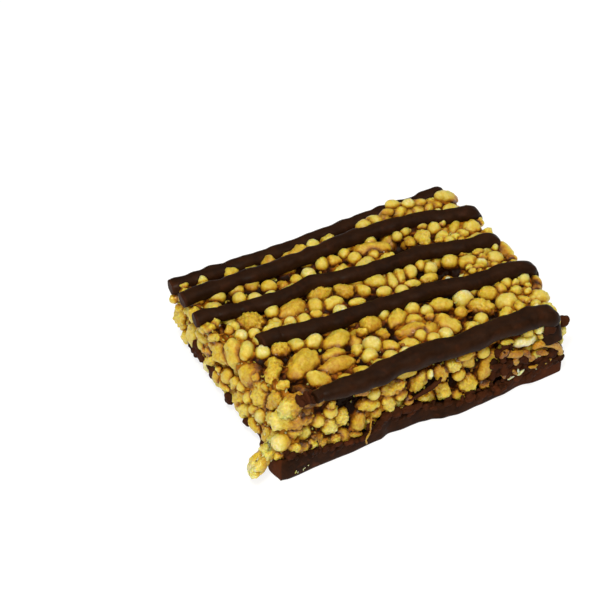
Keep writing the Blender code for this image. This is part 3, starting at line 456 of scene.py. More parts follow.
def packedGrains():
    loose, rods = randomBalls(random.Random(packing["seed"]))
    balls = np.array(loose + setBalls())
    held = balls[len(loose):, :3].copy()
    for step in range(packing["steps"]):
        if step % packing["pairRefresh"] == 0:
            first, second = nearPairs(balls)
        pushApart(balls, first, second)
        holdRods(balls, rods)
        pressIn(balls)
        balls[len(loose):, :3] = held
    ends = {}
    for ball in balls:
        ends.setdefault(int(ball[4]), []).append(ball)
    grains = [grainBetween(pair[0], pair[-1], len(pair) > 1) for _, pair in sorted(ends.items())]
    for grain, row in zip(grains[-len(packing["setGrains"]):], packing["setGrains"]):
        grain["known"], grain["toast"] = kindNames[row[7]], row[8]
    grains += extraGrains("extras")
    axis = Vector(packing["strayAxis"]).normalized()
    for x, y, z, radius, stretch, kind, toast in packing["strays"]:
        grains.append(dict(centre=Vector((x, y, z)) * mm, axis=axis, radius=radius * mm, stretch=stretch * mm,
                           oval=True, stray=True, known=kindNames[kind], toast=toast))
    return grains


# Small grains in the gaps under the outer faces. Some gaps, the hollows, stay open and dark, from real shade
# and the syrup's painted shade: x, y, z and radius in mm.
# Toward the moulded end the grains are paler: from an x, over a width, by an amount of toast.
gaps = dict(
    seed=3,
    tries=5200,
    depth=(1.0 * mm, 2.7 * mm),
    smallest=(1.15 * mm, 0.95 * mm, 0.75 * mm),
    largest=1.35 * mm,
    overlap=0.46 * mm,
    poke=0.15 * mm,
    low=0.8 * mm,
    most=380,
    crispShare=0.4,
    faces=dict(top=0.55, broken=0.15, front=0.12, back=0.10, end=0.08),
    pale=(14 * mm, 10 * mm, 0.12),
    hollows=[
        (-0.2, -19.7, 3.4, 0.8), (-6.6, -18.2, 3.7, 0.8), (-14.0, -20.9, 10.4, 2.2), (15.1, -21.0, 3.2, 2.0),
        (17.0, -2.4, 13.8, 2.4), (-25.5, -20.4, 7.0, 1.6), (29.2, -20.4, 12.4, 2.0),
        (-20.6, -19.2, 15.0, 0.5),
    ],
)


def inHollow(grain):
    aways = [((Vector(row[:3]) * mm - grain["centre"]).length, row[3] * mm) for row in gaps["hollows"]]
    return "known" not in grain and any(away < radius for away, radius in aways)


# an amount that sets in at a start and is full after a width
def risingFrom(x, start, width, amount):
    return amount * smooth((x - start) / width)


def underFace(rng, depth):
    x = rng.uniform(block["breakTop"][-1][0] * mm, block["mouldedX"] - depth)
    y = rng.uniform(block["frontY"] + depth, block["backY"] - depth)
    z = rng.uniform(block["floor"] + gaps["low"], block["topBack"][1])
    face = rng.choices(list(gaps["faces"]), list(gaps["faces"].values()))[0]
    if face == "front":
        y = block["frontY"] + depth
    if face == "back":
        y = block["backY"] - depth
    if face == "end":
        x = block["mouldedX"] - depth
    x, y = insideCorners(x, y, depth, block["mouldedX"], block["backY"])
    z = topHeight(x, y) - depth if face == "top" else min(z, topHeight(x, y) - depth)
    if face == "broken":
        x = breakX(y, z) + depth
    return Vector((max(x, breakX(y, z) + depth), y, z))


def gapGrains(grains):
    rng = random.Random(gaps["seed"])
    middles = [list(grain["centre"]) for grain in grains]
    axes = [list(grain["axis"]) for grain in grains]
    sizes = [(grain["stretch"], grain["radius"]) for grain in grains]
    for x, y, z, radius in gaps["hollows"]:
        middles.append([x * mm, y * mm, z * mm])
        axes.append([0.0, 0.0, 1.0])
        sizes.append((0.0, radius * mm))
    middles, axes, sizes = np.array(middles), np.array(axes), np.array(sizes)
    added = []
    for smallest in gaps["smallest"]:
        for _ in range(gaps["tries"]):
            depth = rng.uniform(*gaps["depth"])
            place = underFace(rng, depth)
            steps = np.array(place) - middles
            along = np.clip((steps * axes).sum(1), -sizes[:, 0], sizes[:, 0])
            away = lengthOf(steps - along[:, None] * axes) - sizes[:, 1]
            radius = min(away.min() + gaps["overlap"], depth + gaps["poke"], gaps["largest"])
            if radius < smallest or len(added) == gaps["most"]:
                continue
            atBreak = place.x - breakX(place.y, place.z) < grainLook["breakReach"]
            kind = "gapCrisps" if rng.random() < gaps["crispShare"] and not atBreak else "gapBits"
            toast = rng.uniform(*grainKinds[kind]["toast"]) - risingFrom(place.x, *gaps["pale"])
            added.append(dict(centre=place, axis=Vector((0, 0, 1)), radius=radius, stretch=0.0, oval=False,
                              known=kind, toast=toast))
            middles = np.vstack([middles, place])
            axes = np.vstack([axes, (0.0, 0.0, 1.0)])
            sizes = np.vstack([sizes, (0.0, radius)])
    print("gap grains:", len(added))
    return added


def depthOf(grain):
    x, y, z = grain["centre"]
    reach = [grain["radius"] + abs(grain["axis"][axis]) * grain["stretch"] for axis in range(3)]
    return min(
        topHeight(x, y) - z - reach[2],
        x - breakX(y, z) - reach[0],
        block["mouldedX"] - x - reach[0],
        y - block["frontY"] - reach[1],
        block["backY"] - y - reach[1],
    )


# What tells the kinds of grain apart, and how their toast changes: toward the moulded end from an x, over a
# width, by an amount, and darker toward the front over a width, by an amount, as painted shade on the front
# side
grainLook = dict(
    seed=11,
    shownDepth=3.0 * mm,
    fineDepth=1.9 * mm,
    breakReach=3.2 * mm,
    tornShare=0.75,
    longStretch=1.42 * mm,
    smallRadius=1.3 * mm,
    flatness=0.90,
    roundFlatness=0.97,
    turn=2.4,  # in radians, from each grain to the next
    creviceReach=1.0 * mm,
    paleShare=0.14,
    paleToast=0.6,
    endPale=(18 * mm, 8 * mm, 0.12),
    frontShade=(4 * mm, 0.10),
)


# what the lump tree asks for, from a pair for each form: how far it stands in or out, and how wide it is
def lumpForm(subdivisions, dent, wrinkle, nodule, pit):
    form = dict(subdivisions=subdivisions)
    for name, (height, size) in dict(dent=dent, wrinkle=wrinkle, nodule=nodule, pit=pit).items():
        form[name + "Height"], form[name + "Size"] = height, size
    return form


# The kinds of grain: how toasted each is, from white starch at 0 to brown at 1, and its dents, wrinkles,
# nodules and pits in mm, for a grain of 2 mm radius
grainKinds = dict(
    roundCrisps=dict(toast=(0.14, 0.36), **lumpForm(4, (0.30, 2.4), (0.16, 0.8), (0.07, 0.9), (0.04, 1.6))),
    ovalPuffs=dict(toast=(0.28, 0.50), **lumpForm(4, (0.60, 2.2), (0.40, 0.9), (0.20, 0.8), (0.10, 1.4))),
    longPuffs=dict(toast=(0.32, 0.52), **lumpForm(4, (0.62, 2.4), (0.40, 1.1), (0.14, 0.8), (0.08, 1.6))),
    tornPuffs=dict(toast=(0.24, 0.42), **lumpForm(5, (0.80, 2.2), (0.75, 1.0), (0.34, 0.62), (0.16, 1.1))),
    crumbledPuffs=dict(toast=(0.24, 0.42), **lumpForm(4, (0.8, 2.2), (0.75, 1.0), (0.34, 0.62), (0.16, 1.1))),
    tornBits=dict(toast=(0.24, 0.42), **lumpForm(4, (1.0, 1.8), (0.80, 0.8), (0.42, 0.55), (0.15, 1.0))),
    buriedGrains=dict(toast=(0.45, 0.75), **lumpForm(3, (0.30, 2.2), (0.16, 0.9), (0.05, 0.9), (0.0, 1.5))),
    gapCrisps=dict(toast=(0.24, 0.50), **lumpForm(3, (0.50, 1.8), (0.40, 0.8), (0.06, 0.9), (0.04, 1.5))),
    gapBits=dict(toast=(0.30, 0.56), **lumpForm(3, (0.9, 1.4), (0.9, 0.8), (0.40, 0.6), (0.10, 1.0))),
)


# The long grain with a crack across it, by where it lies in plan, with painted shade darkening its groove
cracked = dict(place=(3.7, -11.7), along=1.5 * mm, width=0.16 * mm, depth=0.35 * mm, bend=0.25 * mm,
               bendSize=0.7 * mm, dark=1.5)


def kindOf(grain, rng):
    x, y, z = grain["centre"]
    chance = rng.random()
    nearBreak = x - breakX(y, z) - grain["radius"] < grainLook["breakReach"]
    if "known" in grain:
        small = grain["known"] == "tornPuffs" and grain["radius"] < grainLook["smallRadius"]
        return "tornBits" if small else grain["known"]
    if grain["depth"] > grainLook["fineDepth"]:
        return "buriedGrains"
    if nearBreak and chance < grainLook["tornShare"]:
        return "crumbledPuffs"
    if not grain["oval"]:
        return "roundCrisps"
    if grain["stretch"] > grainLook["longStretch"]:
        return "longPuffs"
    return "ovalPuffs"


def toastOf(grain, rng):
    if "known" in grain:
        return grain["toast"]
    low, high = grainKinds[grain["kind"]]["toast"]
    x, y, _ = grain["centre"]
    toast = rng.uniform(low, high)
    if grain["kind"] == "roundCrisps" and rng.random() < grainLook["paleShare"]:
        toast *= grainLook["paleToast"]
    toast -= risingFrom(x, *grainLook["endPale"])
    # painted shade: grains near the front side are darker
    reach, more = grainLook["frontShade"]
    return toast + more * smooth((block["frontY"] + reach - y) / reach)


# where a nodule ends and a pit's wall rises, as shares of its cell
cellEdges = dict(nodule=0.45, pit=(0.12, 0.42))


# a ball at each point, turned and scaled, with dents, wrinkles, nodules and pits; the sizes are in mm
def lumpTree(material):
    forms = [form + part for form in ("dent", "wrinkle", "nodule", "pit") for part in ("Height", "Size")]
    tree, source, result = newTree("lumpTree", dict(subdivisions="Int", **dict.fromkeys(forms, "Float")))
    ball = addNode(tree, "GeometryNodeMeshIcoSphere", {
        "Radius": 1.0, "Subdivisions": source.outputs["subdivisions"]})
    turn = addNode(tree, "FunctionNodeEulerToRotation", {0: named(tree, "turn", "FLOAT_VECTOR")})
    placed = addNode(tree, "GeometryNodeInstanceOnPoints", {
        "Points": source.outputs["Geometry"], "Instance": ball.outputs["Mesh"],
        "Rotation": turn.outputs[0], "Scale": named(tree, "size", "FLOAT_VECTOR")})
    real = addNode(tree, "GeometryNodeRealizeInstances", {"Geometry": placed.outputs[0]})
    place = addNode(tree, "GeometryNodeInputPosition").outputs[0]
    turned = addNode(tree, "ShaderNodeVectorMath", {
        0: place, 1: named(tree, "shift", "FLOAT_VECTOR")}, operation="ADD").outputs[0]
    scales, rises, cells = {}, {}, {}
    for form in ("dent", "wrinkle", "nodule", "pit"):
        scales[form] = sumNode(tree, "DIVIDE", 1 / mm, source.outputs[form + "Size"])
    for form, detail in (("dent", 1.0), ("wrinkle", 5.0)):
        rises[form] = wavesNode(tree, scales[form], detail, source.outputs[form + "Height"], turned)
    for form in ("nodule", "pit"):
        inputs = {"Vector": turned, "Scale": scales[form]}
        cells[form] = addNode(tree, "ShaderNodeTexVoronoi", inputs, feature="F1").outputs[0]
    heads = sumNode(tree, "SUBTRACT", cellEdges["nodule"], cells["nodule"])
    holes = rangeNode(tree, cells["pit"], *cellEdges["pit"], -1.0, 0.0)
    nodules = sumNode(tree, "MULTIPLY", heads, source.outputs["noduleHeight"])
    pits = sumNode(tree, "MULTIPLY", holes, source.outputs["pitHeight"])
    total = sumNode(tree, "ADD", rises["dent"], rises["wrinkle"])
    total = sumNode(tree, "ADD", total, sumNode(tree, "ADD", nodules, pits))
    total = sumNode(tree, "MULTIPLY", sumNode(tree, "MULTIPLY", total, named(tree, "bulk")), mm)
    return endTree(tree, result, real.outputs[0], total, material)


# one lump at each place, with the values that its material reads
def addLumps(name, tree, shape, places, turns, sizes, shifts, bulks, **values):
    obj = meshObject(name, places)
    vectors, numbers = dict(turn=turns, size=sizes, shift=shifts), dict(bulk=bulks)
    for key, rows in vectors.items():
        storeValues(obj.data, key, rows, "FLOAT_VECTOR")
    for key, rows in (numbers | values).items():
        storeValues(obj.data, key, rows)
    applyTree(obj, tree, shape)
    for key in (*vectors, *numbers):
        if key in obj.data.attributes:
            obj.data.attributes.remove(obj.data.attributes[key])
    return obj


# how near each point of a grain comes to another grain: 1 where they meet, 0 in the open
def crevices(places, grain, others, reach):
    nearest = np.full(len(places), 1.0)
    for other in others:
        if other is grain or "stray" in other or "stray" in grain:
            continue
        gap = (other["centre"] - grain["centre"]).length - other["radius"] - other["stretch"]
        if gap > grain["radius"] + grain["stretch"] + reach:
            continue
        middle, axis = np.array(other["centre"]), np.array(other["axis"])
        along = np.clip((places - middle) @ axis, -other["stretch"], other["stretch"])
        away = np.linalg.norm(places - middle - along[:, None] * axis, axis=1) - other["radius"]
        nearest = np.minimum(nearest, away)
    return np.clip(1 - nearest / reach, 0, 1)


# a crack across a long grain: it moves the points in and returns how dark they are, as painted shade in its
# groove
def crackAcross(places, grain, crevice):
    axis, middle = np.array(grain["axis"]), np.array(grain["centre"])
    if axis[0] < 0:
        axis = -axis
    along = (places - middle) @ axis
    outward = places - middle - along[:, None] * axis
    bend = cracked["bend"] * np.sin(outward[:, 1] / cracked["bendSize"])
    groove = np.exp(-(((along - cracked["along"] - bend) / cracked["width"]) ** 2))
    away = np.linalg.norm(outward, axis=1, keepdims=True).clip(1e-9)
    places -= outward / away * (cracked["depth"] * groove)[:, None]
    return np.maximum(crevice, cracked["dark"] * groove)


def addGrains(grains, tree):
    rng = random.Random(grainLook["seed"])
    for grain in grains:
        grain["depth"] = depthOf(grain)
        grain["kind"] = kindOf(grain, rng)
        grain["toast"] = toastOf(grain, rng)
        grain["shift"] = Vector([rng.uniform(-1, 1) for _ in range(3)])
    shown = [grain for grain in grains if grain["depth"] < grainLook["shownDepth"]]
    pieces = []
    for kind, settings in grainKinds.items():
        chosen = [grain for grain in shown if grain["kind"] == kind]
        turns, sizes = [], []
        for number, grain in enumerate(chosen):
            aim = grain["axis"].to_track_quat("Z", "Y").to_matrix()
            turns.append((aim @ Matrix.Rotation(grainLook["turn"] * number, 3, "Z")).to_euler())
            flat = grainLook["flatness" if grain["oval"] else "roundFlatness"]
            sizes.append((grain["radius"], grain["radius"] * flat, grain["radius"] + grain["stretch"]))
        obj = addLumps(
            kind, tree, settings, [grain["centre"] for grain in chosen], turns, sizes,
            [grain["shift"] for grain in chosen], [grain["radius"] / (2 * mm) for grain in chosen],
            toast=[grain["toast"] for grain in chosen])
        places = pointsOf(obj.data).reshape(len(chosen), -1, 3)
        creviceValues = [crevices(part, grain, shown, grainLook["creviceReach"])
                         for part, grain in zip(places, chosen)]
        for number, grain in enumerate(chosen):
            if (Vector(cracked["place"]) * mm - grain["centre"].xy).length < 0.1 * mm:
                creviceValues[number] = crackAcross(places[number], grain, creviceValues[number])
        obj.data.vertices.foreach_set("co", places.astype(np.float32).ravel())
        # the grain material darkens with crevice, side and sunk as syrup stain and painted shade
        storeValues(obj.data, "crevice", creviceValues)
        sunk = sunkUnder(places.reshape(-1, 3)).reshape(len(chosen), -1)
        radii = np.array([[grain["radius"]] for grain in chosen])
        storeValues(obj.data, "side", (sunk - sunk.min(1, keepdims=True)) / radii)
        storeValues(obj.data, "sunk", sunk / mm)
        pieces.append(obj)
        print(f"{kind}: {len(chosen)} grains, {len(obj.data.polygons)} faces")
    return pieces


# The syrup that holds the grains: it fills the block's inside and forms fillets where grains meet.
syrup = dict(
    dilate=0.75 * mm,
    erode=1.28 * mm,
    voxel=0.5 * mm,
    coreStart=-32 * mm,
    coreInset=3.3 * mm,
    coreStep=1.7 * mm,
    coreLow=1.2 * mm,
    coreRadius=1.5 * mm,
    share=0.97,
    tornShare=0.84,
    largeLoss=0.032,
    longStretch=0.5 * mm,
    breakExtra=0.14 * mm,
    breakReach=3 * mm,
    breakThin=0.3,
    thickest=1.2 * mm,
)


def syrupTree(material):
    tree, source, result = newTree("syrupTree", {"voxel": "Float", "erode": "Float"})
    cloud = addNode(tree, "GeometryNodeMeshToPoints", {
        "Mesh": source.outputs["Geometry"], "Radius": named(tree, "reach")})
    volume = addNode(tree, "GeometryNodePointsToVolume", {
        "Points": cloud.outputs[0], "Voxel Size": source.outputs["voxel"], "Radius": named(tree, "reach")},
        resolution_mode="VOXEL_SIZE")
    skin = addNode(tree, "GeometryNodeVolumeToMesh", {
        "Volume": volume.outputs[0], "Threshold": 0.1, "Adaptivity": 0.0})
    inward = sumNode(tree, "MULTIPLY", source.outputs["erode"], -1.0)
    return endTree(tree, result, skin.outputs[0], inward, material)


def addSyrup(grains, material):
    places, reaches = [], []
    for grain in grains:
        share = syrup["share" if grain["kind"] in ("roundCrisps", "ovalPuffs", "longPuffs") else "tornShare"]
        share -= syrup["largeLoss"] * grain["radius"] / mm
        x, y, z = grain["centre"]
        past = (x - breakX(y, z) - syrup["breakReach"]) / syrup["breakReach"]
        extra = syrup["breakExtra"] * (1 - smooth(past))
        for side in ((-1, 0, 1) if grain["stretch"] > syrup["longStretch"] else (0,)):
            places.append(grain["centre"] + grain["axis"] * grain["stretch"] * side)
            reaches.append(share * grain["radius"] + syrup["dilate"] + extra)
    step, inset = syrup["coreStep"], syrup["coreInset"]
    for x in np.arange(syrup["coreStart"], block["mouldedX"], step):
        for y in np.arange(block["frontY"] + inset, block["backY"] - inset, step):
            for z in np.arange(block["floor"] + syrup["coreLow"], block["topFront"][0], step):
                if x - breakX(y, z) > inset and block["mouldedX"] - x > inset and topHeight(x, y) - z > inset:
                    places.append((x, y, z))
                    reaches.append(syrup["coreRadius"] + syrup["dilate"])
    obj = meshObject("syrupBinder", places)
    storeValues(obj.data, "reach", reaches)
    applyTree(obj, syrupTree(material), syrup)
    keepLargestShell(obj.data)
    skin = pointsOf(obj.data)
    # the syrup material darkens with this depth as painted shade
    storeValues(obj.data, "sunk", sunkUnder(skin) / mm)
    low = np.interp(skin[:, 1] / mm, *zip(*block["breakLow"]))
    reach = syrup["breakReach"] / mm
    atBreak = np.clip(1 - (skin[:, 0] / mm - low - reach) / reach, 0, 1)
    away = awayFrom(skin, grains, syrup["thickest"]) / mm
    storeValues(obj.data, "thickness", away - syrup["breakThin"] * atBreak)
    print("syrup:", len(obj.data.polygons), "faces")
    return obj


# how far places lie from the nearest grain
def awayFrom(places, grains, most):
    nearest = np.full(len(places), most)
    order = places[:, 0].argsort()
    alongX = places[order, 0]
    for grain in grains:
        reach = grain["radius"] + grain["stretch"] + most
        low, high = np.searchsorted(alongX, (grain["centre"][0] - reach, grain["centre"][0] + reach))
        near = order[low:high]
        middle, axis = np.array(grain["centre"]), np.array(grain["axis"])
        steps = places[near] - middle
        along = np.clip(steps @ axis, -grain["stretch"], grain["stretch"])
        away = lengthOf(steps - along[:, None] * axis) - grain["radius"]
        nearest[near] = np.minimum(nearest[near], away)
    return nearest


# keeps the largest closed skin, and drops the hollows inside it and loose scraps
def keepLargestShell(mesh):
    bm = bmesh.new()
    bm.from_mesh(mesh)
    seen, shells = set(), []
    for start in bm.faces:
        if start in seen:
            continue
        seen.add(start)
        shell, waiting = [], [start]
        while waiting:
            face = waiting.pop()
            shell.append(face)
            for edge in face.edges:
                for other in edge.link_faces:
                    if other not in seen:
                        seen.add(other)
                        waiting.append(other)
        shells.append(shell)
    shells.sort(key=len)
    for shell in shells[:-1]:
        bmesh.ops.delete(bm, geom=shell, context="FACES")
    bmesh.ops.triangulate(bm, faces=bm.faces)
    bm.to_mesh(mesh)
    bm.free()


# Crumbs of puffed grain, caught in the gaps, most of them near the broken face and low along the front. They
# have a density per square millimetre.
crumbs = dict(
    density=0.34,
    radius=0.24 * mm,
    seed=4,
    dent=0.20,
    dentSize=0.45 * mm,
    toast=(0.10, 0.55),
    smallest=(0.5, 0.5, 0.4),
    largest=(1.9, 1.4, 1.1),
    # shares of the density: everywhere, and added near the broken face and low along the front
    everywhere=0.35,
    nearBreak=1.4,
    nearFront=0.9,
    # where these shares set in and over what widths they fade, in mm
    breakStart=2,
    breakFade=5,
    frontFade=4,
    topEnd=14,
    topFade=4,
    deepest=3.4,
    deepFade=1.2,
    lowest=3.2,
)


def crumbTree(material):
    sockets = dict(density="Float", radius="Float", seed="Int", dent="Float")
    tree, source, result = newTree("crumbTree", sockets)
    perArea = sumNode(tree, "MULTIPLY", source.outputs["density"], 1 / mm ** 2)
    density = sumNode(tree, "MULTIPLY", perArea, named(tree, "crumbly"))
    scattered = addNode(tree, "GeometryNodeDistributePointsOnFaces", {
        "Mesh": source.outputs["Geometry"], "Density": density, "Seed": source.outputs["seed"]},
        distribute_method="RANDOM")
    pale, brown = crumbs["toast"]
    shade = addNode(tree, "FunctionNodeRandomValue", {2: pale, 3: brown, "Seed": 3}).outputs[1]
    toasty = addNode(tree, "GeometryNodeStoreNamedAttribute", {
        "Geometry": scattered.outputs["Points"], "Name": "toast", "Value": shade},
        data_type="FLOAT", domain="POINT")
    chip = addNode(tree, "GeometryNodeMeshIcoSphere", {"Radius": source.outputs["radius"], "Subdivisions": 2})
    spin = addNode(tree, "FunctionNodeRandomValue", {0: (0, 0, 0), 1: (6.28, 6.28, 6.28), "Seed": 5},
                   data_type="FLOAT_VECTOR").outputs[0]
    sizes = addNode(tree, "FunctionNodeRandomValue", {0: crumbs["smallest"], 1: crumbs["largest"], "Seed": 7},
                    data_type="FLOAT_VECTOR").outputs[0]
    placed = addNode(tree, "GeometryNodeInstanceOnPoints", {
        "Points": toasty.outputs[0], "Instance": chip.outputs[0], "Rotation": spin, "Scale": sizes})
    real = addNode(tree, "GeometryNodeRealizeInstances", {"Geometry": placed.outputs[0]})
    rise = wavesNode(tree, 1 / crumbs["dentSize"], 2.0, source.outputs["dent"])
    return endTree(tree, result, real.outputs[0], sumNode(tree, "MULTIPLY", rise, mm), material)


def addCrumbs(binder, material):
    obj = bpy.data.objects.new("grainCrumbs", binder.data.copy())
    bpy.context.scene.collection.objects.link(obj)
    places = pointsOf(obj.data)
    x, y, z = places.T / mm
    low = np.interp(y, *zip(*block["breakLow"]))
    nearBreak = np.clip(1 - (x - low - crumbs["breakStart"]) / crumbs["breakFade"], 0, 1)
    nearFront = np.clip(1 - (y - block["frontY"] / mm) / crumbs["frontFade"], 0, 1)
    nearFront *= np.clip((crumbs["topEnd"] - z) / crumbs["topFade"], 0, 1)
    shallow = np.clip((crumbs["deepest"] - sunkUnder(places) / mm) / crumbs["deepFade"], 0, 1)
    share = crumbs["everywhere"] + crumbs["nearBreak"] * nearBreak + crumbs["nearFront"] * nearFront
    storeValues(obj.data, "crumbly", shallow * share * (z > crumbs["lowest"]))
    applyTree(obj, crumbTree(material), crumbs)
    # the grain material darkens crumbs with this depth as painted shade
    storeValues(obj.data, "sunk", sunkUnder(pointsOf(obj.data)) / mm)
    print("crumbs:", len(obj.data.polygons), "faces")
    return obj


# Lumps and flecks in known places: x, y, z and three half sizes in mm, then a heading and a climb in degrees
bits = dict(
    chocolateLumps=dict(
        seed=14,
        broken=(0.3, 0.8),
        shape=lumpForm(4, (1.1, 2.2), (0.70, 1.1), (0.05, 0.7), (0.12, 1.1)),
        rows=[
            (-30.1, 12.4, 5.4, 2.0, 0.8, 2.1, 84, 6), (-30.2, 10.2, 4.6, 1.2, 0.7, 1.4, 80, 0),
            (-30.2, 5.4, 4.8, 1.5, 0.8, 1.7, 84, -8), (-30.3, -1.7, 3.7, 1.2, 0.7, 1.2, 90, 0),
            (-24.9, -3.7, 14.5, 0.9, 1.2, 1.4, 0, 0),
            (-25.5, -20.4, 16.6, 0.7, 1.4, 1.3, 0, 14), (-24.7, -20.4, 16.4, 0.6, 1.2, 1.0, 10, 0),
            (-23.9, -20.5, 16.6, 0.65, 1.4, 1.3, -6, 10), (-24.6, -19.4, 15.6, 1.1, 0.5, 0.6, 20, 0),
            (-34.1, -20.45, 5.76, 0.28, 0.2, 0.16, 0, 0),
            (26.6, -21.4, 12.6, 1.5, 0.9, 1.3, 0, -30),
            # dark chocolate lumps under the front stripe's broken start: they hold it up and stand as painted
            # shadow under it
            (-20.6, -19.7, 15.3, 2.6, 1.2, 0.9, 0, -4), (-22.6, -20.0, 15.5, 1.2, 0.9, 0.8, 0, 0),
            (17.7, -20.9, 11.9, 1.7, 0.8, 0.7, 10, 20), (16.1, -20.8, 10.5, 1.0, 0.8, 1.1, 0, 60),
            (15.1, -20.8, 8.4, 0.8, 0.8, 1.4, 0, 20), (15.0, -20.9, 6.0, 0.9, 0.8, 1.6, 10, 0),
            (16.2, -21.5, 2.0, 1.6, 0.8, 0.9, 0, 20), (17.8, -20.8, 7.3, 1.7, 0.9, 1.2, 0, 15),
            (18.9, -21.0, 4.2, 1.8, 0.8, 1.0, 0, -20), (20.9, -20.9, 3.6, 2.1, 0.9, 1.5, 0, 20),
            (22.4, -20.7, 5.4, 1.5, 0.7, 1.0, 0, 40), (24.6, -20.7, 5.6, 1.5, 0.8, 0.9, 0, 0),
            (26.5, -20.8, 5.7, 1.5, 0.7, 0.8, 0, 30), (28.2, -20.8, 6.6, 0.9, 0.7, 1.3, 0, 10),
            (20.0, -21.0, 6.0, 2.4, 0.9, 1.0, 0, 20), (25.0, -21.0, 4.2, 2.6, 0.8, 1.1, 0, 10),
            (23.9, -21.3, 3.2, 1.7, 0.8, 1.2, 0, 0), (-7.6, -20.9, 5.2, 1.3, 0.9, 0.8, 0, 10),
            (-5.7, -20.9, 5.4, 1.2, 0.9, 0.9, 0, -20), (-3.5, -20.9, 5.0, 1.4, 0.9, 0.8, 0, 0),
            (-1.4, -20.8, 4.8, 1.3, 0.8, 0.7, 0, 15), (5.2, -21.7, 3.5, 1.1, 0.7, 0.6, 0, 0),
            (9.7, -21.9, 2.8, 1.2, 0.7, 0.6, 0, 10), (12.2, -21.9, 2.7, 1.3, 0.8, 0.6, 0, -10),
            (-27.2, -20.0, 9.0, 1.2, 0.9, 0.7, 0, 0),
            (-15.9, -21.9, 3.2, 0.7, 0.6, 0.45, 20, 0), (-14.5, -22.0, 3.0, 0.6, 0.5, 0.4, 50, 0),
            (-13.3, -21.9, 2.9, 0.7, 0.5, 0.4, 0, 0), (-18.6, -21.9, 4.0, 0.8, 0.5, 0.4, 0, 10),
            (32.1, -18.0, 9.7, 1.1, 1.1, 1.05, 0, 0), (-29.6, 14.4, 3.4, 2.4, 0.9, 1.5, 80, 0),
            (-29.2, 17.0, 3.6, 1.6, 0.8, 1.3, 100, 0), (-29.6, 6.1, 3.4, 1.9, 0.8, 1.5, 80, 10),
            (-29.0, 3.6, 3.2, 1.2, 0.7, 1.1, 70, 0), (-29.9, -0.6, 3.2, 1.2, 0.8, 1.1, 80, 0),
            (-30.0, -8.1, 3.0, 1.0, 0.6, 0.9, 90, 0), (-30.0, -15.8, 3.0, 1.5, 0.8, 1.2, 90, 0),
        ]),
    rimRubble=dict(
        seed=9,
        broken=(0.0, 0.7),
        shape=lumpForm(3, (1.0, 1.2), (0.6, 0.6), (0.20, 0.6), (0.1, 1.0))),
    starchBits=dict(
        seed=10,
        toast=(0.06, 0.26),
        shape=lumpForm(4, (0.9, 1.4), (0.5, 0.7), (0.10, 0.7), (0.3, 0.8)),
        rows=[
            (20.6, -21.9, 4.6, 0.9, 0.22, 0.25, 0, 35), (20.0, -21.9, 5.2, 0.2, 0.2, 0.7, 0, 15),
            (18.4, -21.9, 4.1, 0.8, 0.2, 0.22, 0, 10), (24.2, -21.8, 4.0, 0.6, 0.2, 0.2, 0, -20),
            (31.9, -18.1, 7.4, 0.95, 0.9, 1.2, 0, 0), (31.6, -18.1, 4.9, 0.7, 0.7, 1.0, 0, 0),
            (-27.4, -22.6, 1.6, 0.40, 0.10, 0.09, 0, 60), (-27.0, -22.6, 1.3, 0.22, 0.10, 0.07, 0, 80),
            (-25.8, -22.45, 1.3, 0.07, 0.10, 0.32, 0, 0), (-25.5, -22.4, 1.5, 0.2, 0.1, 0.06, 0, 30),
            (-24.7, -22.35, 1.8, 0.16, 0.10, 0.06, 0, 20), (15.7, -2.6, 15.2, 0.6, 0.3, 0.22, 10, 0),
            (18.3, -3.0, 15.05, 0.9, 0.25, 0.2, 24, 0), (14.4, -5.1, 15.85, 0.35, 0.12, 0.1, 10, 0),
        ]),
    amberBits=dict(
        seed=9,
        toast=(0.66, 0.84),
        shape=lumpForm(4, (0.7, 1.6), (0.3, 0.8), (0.10, 0.7), (0.2, 1.0)),
        rows=[
            (16.6, -21.8, 10.9, 1.2, 0.4, 0.7, 0, 30), (19.0, -21.6, 9.6, 2.0, 0.5, 0.9, 0, -20),
            (21.2, -21.5, 8.2, 1.3, 0.5, 1.5, 0, 40), (22.8, -21.7, 6.9, 1.2, 0.4, 0.8, 0, 0),
            (25.2, -21.7, 7.4, 1.6, 0.4, 0.7, 0, -30), (17.0, -21.8, 5.4, 0.6, 0.3, 1.2, 0, 20),
            (23.0, -21.9, 4.9, 1.1, 0.3, 0.3, 0, -15), (26.6, -21.7, 4.6, 1.0, 0.3, 0.35, 0, 30),
            (19.4, -21.8, 7.9, 0.7, 0.3, 1.1, 0, 0),
            (19.4, -21.6, 4.9, 0.35, 0.3, 1.1, 0, 35), (24.3, -21.5, 4.3, 0.7, 0.3, 0.4, 0, 20),
            (18.1, -21.7, 4.3, 0.5, 0.3, 0.4, 0, 40),
            (-10.6, -15.0, 15.3, 0.5, 0.3, 0.3, 30, 0), (-1.0, -14.6, 15.0, 0.5, 0.4, 0.3, 60, 0),
        ]),
)


# Crumbled chocolate along the base's rim on the front side, as more rows of the same kind
rubble = dict(
    seed=8,
    count=110,
    reach=(-29.0, 30.0),
    size=(0.18, 0.95),
    flat=0.45,
    height=(-1.2, 0.8),
    depth=(-0.2, 0.2),
    tilt=(20, 40),
    # the broken patch near the moulded end, as (x, z) along it
    patch=[(17.7, 11.6), (16.2, 10.2), (15.2, 8.2), (15.2, 6.2), (17.8, 7.4), (20.4, 7.2), (22.0, 5.6),
           (19.0, 4.2), (21.5, 3.6), (24.6, 5.4), (26.4, 5.6), (28.0, 6.4), (26.5, 3.4), (28.8, 3.6)],
    patchCount=40,
    patchSpread=0.8,
    patchSize=(0.3, 1.5),
    patchY=(-21.9, -21.2),
    patchDepth=0.4,
    patchTilt=(30, 60),
)


# a chip of a random size and tilt
def rubbleChip(rng, x, y, z, size, depth, tilt):
    heading, climb = tilt
    wide, high = size
    return x, y, z, wide, depth, high, rng.uniform(-heading, heading), rng.uniform(-climb, climb)


